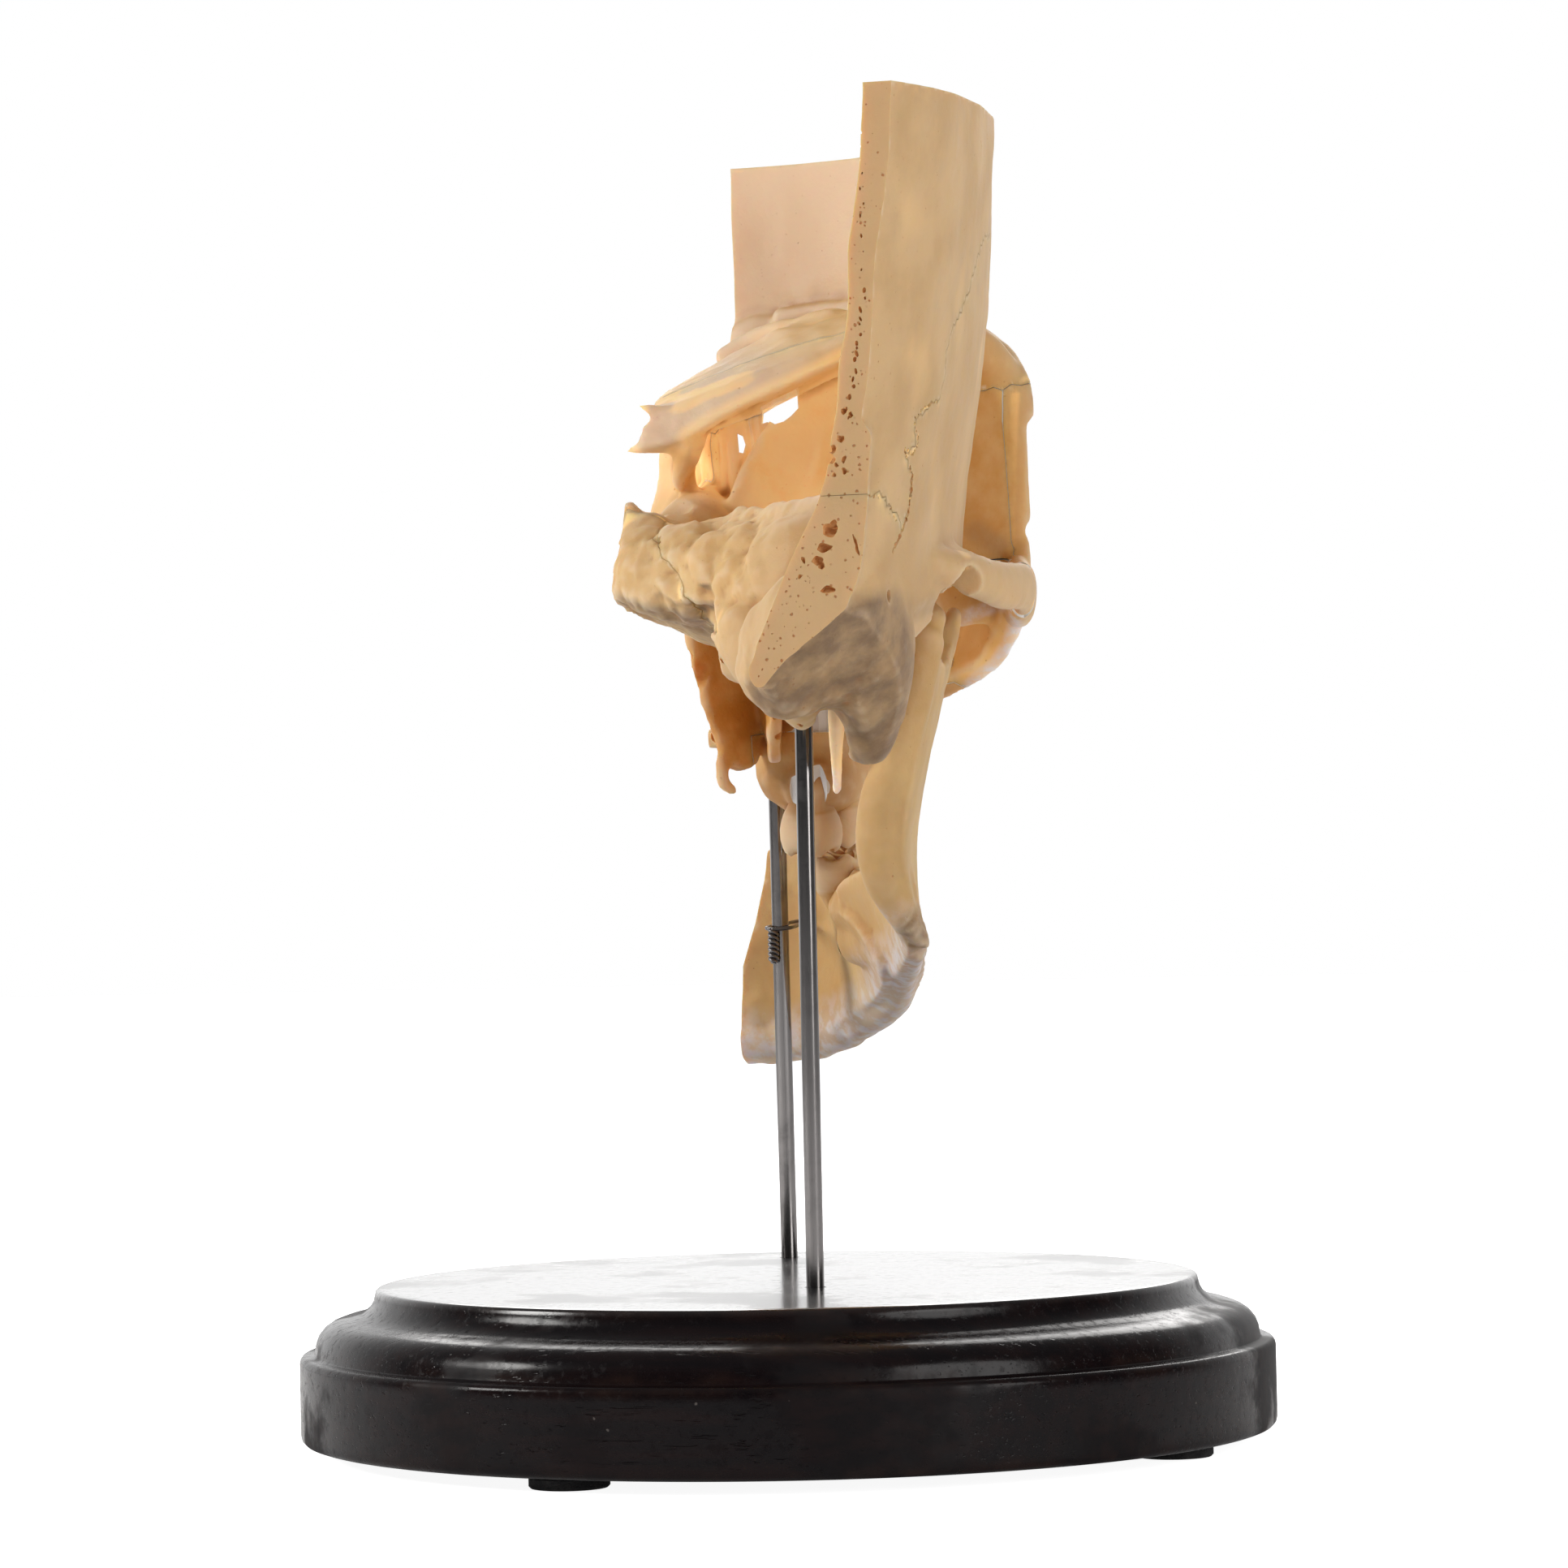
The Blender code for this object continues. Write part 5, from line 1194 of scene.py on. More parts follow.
def boneMaterial(name, tones):
    material, tree, shader, place = newFinish(name)
    sawn = layer(tree, "sawn")
    whole = mathNode(tree, "SUBTRACT", 1, sawn)
    thin, hollow, stainAndShade, inside, wear, deep, rimSheen, seam = (
        mathNode(tree, "MULTIPLY", layer(tree, label), whole)
        for label in ("thin", "hollow", "stainAndShade", "inside", "wear", "deep", "rimSheen", "seam"))
    colour = mixNode(tree, placed(tree, blotches, place, Scale=60, Low=0.35, High=0.65), tones["tan"], tones["pale"])
    grey = placed(tree, blotches, place, Scale=95, Low=0.55, High=0.75, Detail=8)
    colour = mixNode(tree, mathNode(tree, "MULTIPLY", grey, 0.14), colour, tones["grey"])
    colour = mixNode(tree, mathNode(tree, "MULTIPLY", inside, 0.75), colour, tones["peach"])
    # painted light: amber and ochre where the bone is thin, standing in for light from behind shining through it
    colour = mixNode(tree, mathNode(tree, "MULTIPLY", thin, 0.9), colour, tones["amber"])
    ochreGlow = mathNode(tree, "MULTIPLY", placed(tree, blotches, place, Scale=130, Low=0.45, High=0.75), thin)
    colour = mixNode(tree, mathNode(tree, "MULTIPLY", ochreGlow, 0.45), colour, tones["ochre"])
    # painted shade: a deep orange-brown in recesses such as the fossa behind the cheek, between the pterygoid plates
    # and in the jaw body
    cloud = mathNode(tree, "ADD", mathNode(tree, "MULTIPLY", placed(tree, blotches, place, Scale=90, Low=0.3, High=0.7, Detail=6), 0.4), 0.6)
    colour = mixNode(tree, mathNode(tree, "MULTIPLY", cloud, deep), colour, tones["deep"])
    # stains and painted shade: dark brown on the undersides and on the other patches that the stain masks pick
    patch = mathNode(tree, "ADD", mathNode(tree, "MULTIPLY", placed(tree, blotches, place, Scale=170, Low=0.3, High=0.7, Detail=8), 0.45), 0.5)
    colour = mixNode(tree, mathNode(tree, "MULTIPLY", patch, stainAndShade), colour, tones["stainAndShade"])
    colour = mixNode(tree, mathNode(tree, "MULTIPLY", sawn, 0.6), colour, tones["spongy"])
    finePits = placed(tree, pits, place, Scale=1300, Reach=0.34, Share=0.16)
    spongePits = mathNode(tree, "MULTIPLY", placed(tree, pits, place, Scale=1500, Reach=0.5, Share=0.25), sawn)
    dense = mathNode(tree, "ADD", placed(tree, blotches, place, Scale=70, Low=0.45, High=0.7), 0.25)
    allPits = mathNode(tree, "MAXIMUM", mathNode(tree, "MULTIPLY", finePits, mathNode(tree, "MULTIPLY", dense, 0.5)), spongePits)
    colour = mixNode(tree, mathNode(tree, "MULTIPLY", allPits, 0.75), colour, tones["pore"])
    # pore brown where the surface dips and in the air cells: painted shade in creases and pits, with the brown that the
    # air cells have
    colour = mixNode(tree, mathNode(tree, "MULTIPLY", hollow, 0.7), colour, tones["pore"])
    colour = mixNode(tree, mathNode(tree, "MULTIPLY", seam, 0.35), colour, tones["seam"])
    colour = mixNode(tree, mathNode(tree, "MULTIPLY", wear, 0.5), colour, tones["worn"])
    # painted highlight: a pale lilac sheen along edges, kept off the sawn faces
    sheenSpots = mathNode(tree, "MULTIPLY", placed(tree, blotches, place, Scale=330, Low=0.3, High=0.62, Detail=9), rimSheen)
    sheenSpots = mathNode(tree, "MAXIMUM", mathNode(tree, "MULTIPLY", sheenSpots, 0.9), mathNode(tree, "MULTIPLY", rimSheen, 0.35))
    colour = mixNode(tree, sheenSpots, colour, tones["rimSheen"])
    link = tree.links.new
    link(colour, shader.inputs["Base Color"])
    # painted glow: thin bone gives off light in its own colour, standing in for light shining through it from behind,
    # less where painted shade, stains and dips lie
    dark = mathNode(tree, "MAXIMUM", deep, mathNode(tree, "MAXIMUM", hollow, stainAndShade))
    throughGlow = mathNode(tree, "MULTIPLY", thin, mathNode(tree, "SUBTRACT", 1, dark, clamp=True))
    link(mixNode(tree, throughGlow, (0, 0, 0), colour), shader.inputs["Emission Color"])
    shader.inputs["Emission Strength"].default_value = 0.22
    gloss = addNode(tree, "ShaderNodeMapRange")
    link(placed(tree, blotches, place, Scale=240, Low=0.2, High=0.8), gloss.inputs[0])
    gloss.inputs[3].default_value, gloss.inputs[4].default_value = 0.5, 0.72
    link(gloss.outputs[0], shader.inputs["Roughness"])
    grain = addNode(tree, "ShaderNodeTexNoise")
    grain.inputs["Scale"].default_value, grain.inputs["Detail"].default_value = 1500, 5
    link(place, grain.inputs["Vector"])
    height = mathNode(tree, "MULTIPLY", grain.outputs["Fac"], 0.22)
    ripple = addNode(tree, "ShaderNodeTexNoise")
    ripple.inputs["Scale"].default_value, ripple.inputs["Detail"].default_value = 330, 4
    link(place, ripple.inputs["Vector"])
    height = mathNode(tree, "ADD", height, mathNode(tree, "MULTIPLY", ripple.outputs["Fac"], 0.5))
    height = mathNode(tree, "SUBTRACT", height, allPits)
    bump = addNode(tree, "ShaderNodeBump")
    bump.inputs["Strength"].default_value = 0.75
    bump.inputs["Distance"].default_value = 0.00035
    link(height, bump.inputs["Height"])
    link(bump.outputs[0], shader.inputs["Normal"])
    shader.inputs["Subsurface Weight"].default_value = 0.35
    shader.inputs["Subsurface Radius"].default_value = (1.0, 0.38, 0.12)
    shader.inputs["Subsurface Scale"].default_value = 0.0035
    shader.inputs["Specular IOR Level"].default_value = 0.35
    return material


def poreMaterial():
    # the brown walls of cracks, air cells and pores
    material, tree, shader, place = newFinish("poreWall")
    colour = mixNode(tree, placed(tree, blotches, place, Scale=900, Low=0.3, High=0.7),
                     (0.56, 0.23, 0.07), (0.78, 0.46, 0.20))
    tree.links.new(colour, shader.inputs["Base Color"])
    shader.inputs["Roughness"].default_value = 0.8
    shader.inputs["Specular IOR Level"].default_value = 0.2
    return material


def stained(piece, finish):
    # gives every face of a cutter the finish that its cut will show
    piece.data.materials.clear()
    piece.data.materials.append(finish)
    return piece


def enamelMaterial():
    material, tree, shader, place = newFinish("toothEnamel")
    stainAndShade = layer(tree, "hollow")
    colour = mixNode(tree, placed(tree, blotches, place, Scale=180, Low=0.35, High=0.7), (0.80, 0.70, 0.56), (0.68, 0.50, 0.36))
    crack = addNode(tree, "ShaderNodeTexVoronoi", feature="DISTANCE_TO_EDGE")
    crack.inputs["Scale"].default_value = 260
    stretch = addNode(tree, "ShaderNodeMapping")
    stretch.inputs["Scale"].default_value = (1, 1, 0.25)
    tree.links.new(place, stretch.inputs["Vector"])
    tree.links.new(stretch.outputs[0], crack.inputs["Vector"])
    line = rampNode(tree, crack.outputs["Distance"], 0.03, 0.0)
    colour = mixNode(tree, mathNode(tree, "MULTIPLY", line, 0.35), colour, (0.33, 0.19, 0.09))
    # brown in the dips of the crowns: stain in the fissures with painted shade
    colour = mixNode(tree, mathNode(tree, "MULTIPLY", stainAndShade, 0.5), colour, (0.42, 0.26, 0.13))
    tree.links.new(colour, shader.inputs["Base Color"])
    shader.inputs["Roughness"].default_value = 0.28
    shader.inputs["Coat Weight"].default_value = 0.3
    shader.inputs["Coat Roughness"].default_value = 0.15
    shader.inputs["Subsurface Weight"].default_value = 0.3
    shader.inputs["Subsurface Radius"].default_value = (1.0, 0.6, 0.35)
    shader.inputs["Subsurface Scale"].default_value = 0.002
    return material


def woodMaterial():
    # dark varnished wood: long grain along X, with dull scuffs in the varnish
    material, tree, shader, place = newFinish("darkVarnish")
    link = tree.links.new
    long = addNode(tree, "ShaderNodeMapping")
    long.inputs["Scale"].default_value = (0.06, 1.0, 1.0)
    link(place, long.inputs["Vector"])
    grain = addNode(tree, "ShaderNodeTexNoise")
    grain.inputs["Scale"].default_value, grain.inputs["Detail"].default_value = 420, 8
    link(long.outputs[0], grain.inputs["Vector"])
    pore = placed(tree, blotches, long.outputs[0], Scale=1400, Low=0.62, High=0.72, Detail=2)
    streak = rampNode(tree, grain.outputs["Fac"], 0.35, 0.7)
    colour = mixNode(tree, streak, (0.0042, 0.0026, 0.0034), (0.0095, 0.0042, 0.0044))
    colour = mixNode(tree, mathNode(tree, "MULTIPLY", pore, 0.6), colour, (0.003, 0.002, 0.002))
    rub = mathNode(tree, "MULTIPLY", layer(tree, "wear"), placed(tree, blotches, place, Scale=110, Low=0.4, High=0.75, Detail=8))
    colour = mixNode(tree, mathNode(tree, "MULTIPLY", rub, 0.32), colour, (0.05, 0.026, 0.018))
    specks = placed(tree, pits, place, Scale=420, Reach=0.16, Share=0.05)
    colour = mixNode(tree, mathNode(tree, "MULTIPLY", specks, 0.35), colour, (0.25, 0.22, 0.2))
    link(colour, shader.inputs["Base Color"])
    dull = placed(tree, blotches, place, Scale=32, Low=0.5, High=0.62, Detail=10)
    scuff = placed(tree, blotches, place, Scale=700, Low=0.5, High=0.7, Detail=6)
    rough = addNode(tree, "ShaderNodeMapRange")
    link(mathNode(tree, "MAXIMUM", dull, mathNode(tree, "MULTIPLY", scuff, 0.5)), rough.inputs[0])
    rough.inputs[3].default_value, rough.inputs[4].default_value = 0.18, 0.6
    link(rough.outputs[0], shader.inputs["Roughness"])
    bump = addNode(tree, "ShaderNodeBump")
    bump.inputs["Strength"].default_value = 0.35
    bump.inputs["Distance"].default_value = 0.00025
    uneven = placed(tree, blotches, place, Scale=160, Low=0.1, High=0.9, Detail=6)
    height = mathNode(tree, "ADD", mathNode(tree, "MULTIPLY", grain.outputs["Fac"], 0.35), mathNode(tree, "MULTIPLY", uneven, 0.5))
    height = mathNode(tree, "SUBTRACT", height, mathNode(tree, "MULTIPLY", pore, 0.4))
    link(height, bump.inputs["Height"])
    link(bump.outputs[0], shader.inputs["Normal"])
    shader.inputs["Specular IOR Level"].default_value = 0.16
    tree.links.new(layer(tree, "varnish"), shader.inputs["Coat Weight"])
    shader.inputs["Coat Roughness"].default_value = 0.16
    return material


def steelMaterial(name, tone, rough, drawn):
    # drawn steel: fine lines along the bar and a few dull patches
    material, tree, shader, place = newFinish(name)
    link = tree.links.new
    long = addNode(tree, "ShaderNodeMapping")
    long.inputs["Scale"].default_value = (1.0, 1.0, drawn)
    link(place, long.inputs["Vector"])
    lines = addNode(tree, "ShaderNodeTexNoise")
    lines.inputs["Scale"].default_value, lines.inputs["Detail"].default_value = 2600, 4
    link(long.outputs[0], lines.inputs["Vector"])
    dull = placed(tree, blotches, place, Scale=130, Low=0.45, High=0.7, Detail=6)
    dark = tuple(v * 0.55 for v in tone)
    colour = mixNode(tree, mathNode(tree, "MULTIPLY", dull, 0.5), tone, dark)
    link(colour, shader.inputs["Base Color"])
    shader.inputs["Metallic"].default_value = 1.0
    spread = addNode(tree, "ShaderNodeMapRange")
    link(mathNode(tree, "MAXIMUM", dull, lines.outputs["Fac"]), spread.inputs[0])
    spread.inputs[3].default_value, spread.inputs[4].default_value = rough * 0.7, rough * 1.6
    link(spread.outputs[0], shader.inputs["Roughness"])
    bump = addNode(tree, "ShaderNodeBump")
    bump.inputs["Strength"].default_value = 0.25
    bump.inputs["Distance"].default_value = 0.00004
    link(lines.outputs["Fac"], bump.inputs["Height"])
    link(bump.outputs[0], shader.inputs["Normal"])
    return material


def rubberMaterial():
    material, tree, shader, place = newFinish("padRubber")
    colour = mixNode(tree, placed(tree, blotches, place, Scale=500, Low=0.4, High=0.7), (0.012, 0.012, 0.013), (0.035, 0.033, 0.032))
    tree.links.new(colour, shader.inputs["Base Color"])
    shader.inputs["Roughness"].default_value = 0.75
    bump = addNode(tree, "ShaderNodeBump")
    bump.inputs["Distance"].default_value = 0.0001
    tree.links.new(placed(tree, blotches, place, Scale=3000, Low=0.3, High=0.7), bump.inputs["Height"])
    tree.links.new(bump.outputs[0], shader.inputs["Normal"])
    return material


# Layers that the finishes read: thin bone for the painted glow, dips for painted shade, wear, stains with painted
# shade, the inner face, deep painted shade, a painted rim highlight, seams and sawn faces

def averaged(values, pairs, count, rounds):
    shared = np.bincount(pairs.ravel(), minlength=count).astype(float)
    shared[shared == 0] = 1
    for _ in range(rounds):
        columns = []
        for axis in range(values.shape[1]):
            column = np.bincount(pairs[:, 0], values[pairs[:, 1], axis], count)
            column += np.bincount(pairs[:, 1], values[pairs[:, 0], axis], count)
            columns.append(column / shared)
        values = 0.5 * values + 0.5 * np.stack(columns, 1)
    return values


def seamLayer(piece, others, reach):
    # how near each point is to another bone
    tree = kdtree.KDTree(sum(len(o.data.vertices) for o in others) + 1)
    at = 0
    for other in others:
        for vertex in other.data.vertices:
            tree.insert(vertex.co / mm, at)
            at += 1
    tree.insert((1000, 0, 0), at)
    tree.balance()
    far = np.array([tree.find(v.co / mm)[2] for v in piece.data.vertices])
    return np.clip((reach - far) / (reach * 0.5), 0, 1)


def paintLayers(piece, isSawn, stainsAndShade=(), glowAmbers=(), holes=(), shadeDeeps=(), rimSheens=(), others=()):
    mesh = piece.data
    count = len(mesh.vertices)
    place = np.empty(count * 3)
    mesh.vertices.foreach_get("co", place)
    place = place.reshape(-1, 3) / mm
    normal = np.empty(count * 3)
    mesh.vertex_normals.foreach_get("vector", normal)
    normal = normal.reshape(-1, 3)
    pairs = np.empty(len(mesh.edges) * 2, dtype=np.int64)
    mesh.edges.foreach_get("vertices", pairs)
    pairs = pairs.reshape(-1, 2)
    smooth = averaged(place, pairs, count, 10)
    dip = ((smooth - place) * normal).sum(1)
    # hollow: where the surface dips, painted darker in the finish as shade in creases
    hollow = np.clip((dip - 0.06) / 0.3, 0, 1)
    wear = np.clip((-dip - 0.07) / 0.28, 0, 1)
    tree = BVHTree.FromPolygons([Vector(p) for p in place], [tuple(f.vertices) for f in mesh.polygons])
    limit = bone["thickLimit"]
    depth = np.full((count, 1), limit)
    for i in range(count):
        inward = -Vector(normal[i])
        hit = tree.ray_cast(Vector(place[i]) + inward * 0.25, inward, limit)
        if hit[0] is not None:
            depth[i, 0] = hit[3]
    depth = averaged(depth, pairs, count, 6)[:, 0]
    layers = {
        "thin": np.clip((3.7 - depth) / 2.2, 0, 1), "hollow": hollow, "wear": wear,
        "inside": insideVault(place, normal), "stainAndShade": np.zeros(count), "deep": np.zeros(count),
        "rimSheen": np.zeros(count), "seam": seamLayer(piece, others, bone["seam"]) if others else np.zeros(count),
    }
    # painted shade in recesses
    for mask, weight in shadeDeeps:
        layers["deep"] = np.maximum(layers["deep"], mask(place, normal) * weight)
    # painted rim highlight
    for mask, weight in rimSheens:
        layers["rimSheen"] = np.maximum(layers["rimSheen"], mask(place, normal) * weight)
    layers["wear"] = layers["wear"] * (1 - layers["seam"])
    # dark brown for stains and for painted shade on undersides
    for mask, weight in stainsAndShade:
        layers["stainAndShade"] = np.maximum(layers["stainAndShade"], mask(place, normal) * weight)
    # painted glow: these masks mark more bone as thin, so it takes the amber of light shining through
    for mask, weight in glowAmbers:
        layers["thin"] = np.maximum(layers["thin"], mask(place, normal) * weight)
    # no painted rim highlight where the stains and painted shade lie
    layers["rimSheen"] = layers["rimSheen"] * (1 - layers["stainAndShade"])
    for mask, weight in holes:
        layers["hollow"] = np.maximum(layers["hollow"], mask(place, normal) * weight)
    for name, values in layers.items():
        attribute = mesh.attributes.new(name, "FLOAT", "POINT")
        attribute.data.foreach_set("value", values.astype(np.float32))
    cut = mesh.attributes.new("sawn", "FLOAT", "FACE")
    cut.data.foreach_set("value", [float(isSawn(f.center / mm, f.normal)) for f in mesh.polygons])


def skullSawn(p, n):
    if abs(p.y - saw["rear"]) < 0.05:
        return abs(n.y) > 0.9
    if abs(p.z - saw["topRear"] - saw["topSlope"] * (p.y - saw["rear"])) < 0.06:
        return n.z > 0.9
    swapped = [(height, across) for across, height in saw["middle"]]
    return p.y > 50 and abs(p.x - between(swapped, p.z)) < 0.05 and n.x < -0.9


def jawSawn(p, n):
    swapped = [(height, across) for across, height in saw["jaw"]]
    return p.y > 50 and abs(p.x - between(swapped, p.z)) < 0.06 and n.x < -0.7


def dressed(piece, name, finish, sharp=40):
    # places a bone piece on the stand and hands it to the frame
    piece.name = piece.data.name = name
    piece.data.transform(turnToStand)
    piece.data.shade_smooth()
    piece.data.set_sharp_from_angle(angle=math.radians(sharp))
    for face, cut in zip(piece.data.polygons, piece.data.attributes["sawn"].data):
        if cut.value:
            face.use_smooth = False
    return handed(piece, name, finish)


def handed(piece, name, finish):
    if len(piece.data.materials) > 1:
        piece.data.materials[0] = finish
    else:
        piece.data.materials.clear()
        piece.data.materials.append(finish)
    piece.name = f"{name}_look"
    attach(piece, "root")
    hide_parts(name)
    return piece


blotches, pits = blotchGroup(), pitGroup()
boneFinish = boneMaterial("dryBone", boneTones)
jawFinish = boneMaterial("jawBone", jawTones)
enamel = enamelMaterial()
poreFinish = poreMaterial()
strew = strewTree("porousCut")


def onWall(tree, y, z):
    # the point of the outer wall at this distance forward and height
    hit = tree.ray_cast(Vector((120, y, z)) * mm, Vector((-1, 0, 0)))[0]
    return tuple(hit / mm) if hit else (60, y, z)


def crackBites(stock):
    # the suture behind the ear gapes: a run of small bites along it
    work = bmesh.new()
    work.from_mesh(stock.data)
    tree = BVHTree.FromBMesh(work)
    work.free()
    wide = [onWall(tree, y, z) for y, z in (
        (-31.3, 7.8), (-28.6, 10.2), (-25.8, 13), (-25.3, 16), (-26, 19.6), (-27.6, 21.4))]
    slim = [onWall(tree, y, z) for y, z in (
        (-28.5, 22.4), (-31, 24.8), (-27.3, 23.4), (-25, 25.1), (-27.5, 28.8), (-23, 30.6), (-17, 31))]
    link = [onWall(tree, y, z) for y, z in ((-45, 18.5), (-40, 18), (-36, 17.4), (-32.5, 15), (-30, 13))]
    return nicks(((wide, 0.62, 0.5), (slim, 0.4, 0.6), (link, 0.34, 1.3)))


airCells = (
    # centre across and height on the rear cut, half width, depth, half height
    (49.3, 13.6, 1.35, 2.8, 1.05), (50.0, 14.3, 0.7, 2.0, 0.8), (48.2, 10.8, 1.25, 2.4, 0.65), (47.2, 8.8, 0.9, 2.4, 0.7),
    (47.6, 7.9, 0.6, 1.6, 0.6), (48.4, 4.3, 1.1, 2.2, 0.55), (53.5, 11.0, 0.26, 1.2, 1.7), (44.8, 9.0, 0.36, 1.2, 0.45),
    (44.0, 6.4, 0.4, 1.0, 0.3), (50.2, 24.9, 1.0, 2.4, 0.8), (49.2, 24.1, 0.9, 1.8, 0.5), (50.7, 26.2, 0.6, 1.6, 0.7),
    (52.0, 27.9, 0.6, 1.6, 0.5), (51.1, 23.8, 0.4, 1.2, 0.4), (52.4, 24.6, 0.4, 1.2, 0.6), (52.3, 22.8, 0.45, 1.2, 0.5),
    (52.9, 32.2, 0.5, 1.4, 0.45), (53.9, 31.6, 0.45, 1.3, 0.5), (51.0, 31.0, 0.35, 1.2, 0.3), (50.6, 22.2, 0.3, 1.0, 0.3),
)
poreRow = ((58.6, 78), (57.9, 64), (57.5, 56), (57.1, 49.5), (56.2, 44), (55.3, 40.4), (54.4, 35.6), (53.2, 31))


def airCellHollows():
    # brown air cells low on the sawn strip, and one row of small marrow holes up its middle
    cells = [
        uneven(blob((x, saw["rear"], z), (wide, deep * 0.6, high), (0, dice.uniform(-25, 25), 0)), max(0.5, wide))
        for x, z, wide, deep, high in airCells
    ]
    walked = 0.0
    for (x, z), (nextX, nextZ) in zip(blendRows(poreRow, 40), blendRows(poreRow, 40)[1:]):
        walked += math.hypot(nextX - x, nextZ - z)
        if walked > 0:
            low = z < 52
            size = dice.uniform(0.18, 0.34) if low else dice.uniform(0.1, 0.2)
            walked = -dice.uniform(0.7, 1.9) if low else -dice.uniform(1.6, 4.5)
            cells.append(blob((x + dice.uniform(-0.35, 0.35), saw["rear"], z),
                              (size, 0.6, size * dice.uniform(1.0, 2.2)), (0, dice.uniform(-25, 25), 0), 2))
    return cells


def topOrMiddle(p, n):
    return skullSawn(p, n) and n.y > -0.9


def rim(points, reach, ahead):
    # a mask along a run of x and z points, for what lies further forward than ahead
    def mask(place, normal):
        far = np.full(len(place), 99.0)
        spots = place[:, (0, 2)]
        for start, end in zip(points, points[1:]):
            start, run = np.array(start), np.array(end) - np.array(start)
            share = np.clip((spots - start) @ run / (run @ run), 0, 1)
            far = np.minimum(far, np.linalg.norm(spots - start - share[:, None] * run, axis=1))
        return np.clip((reach - far) / (reach * 0.6), 0, 1) * (place[:, 1] > ahead)
    return mask


def shadedPyramidUnderside(place, normal):
    # painted shade on the broken underside of the pyramid, where it faces down
    low = np.clip(-normal[:, 2] * 2.4 - 0.5, 0, 1)
    return low * petrousMask(place, normal) * (place[:, 2] < 1)


def shadedSlope(place, normal):
    # painted brown shade on the rough slope below the sawn strip
    along, down = np.array((9.1, 0, 7.5)), np.array((1.5, 26.3, -22.1))
    out = np.cross(along, down)
    out *= -1 / np.linalg.norm(out)
    depth = (place - np.array((46.6, -46, -2.7))) @ out
    facing = np.clip((normal @ out) * 3, 0, 1)
    low = np.clip((3.8 - place[:, 2]) / 3, 0, 1)
    behind = np.clip((-8 - place[:, 1]) / 8, 0, 1)
    return facing * low * behind * np.clip((9 - np.abs(depth)) / 5, 0, 1)


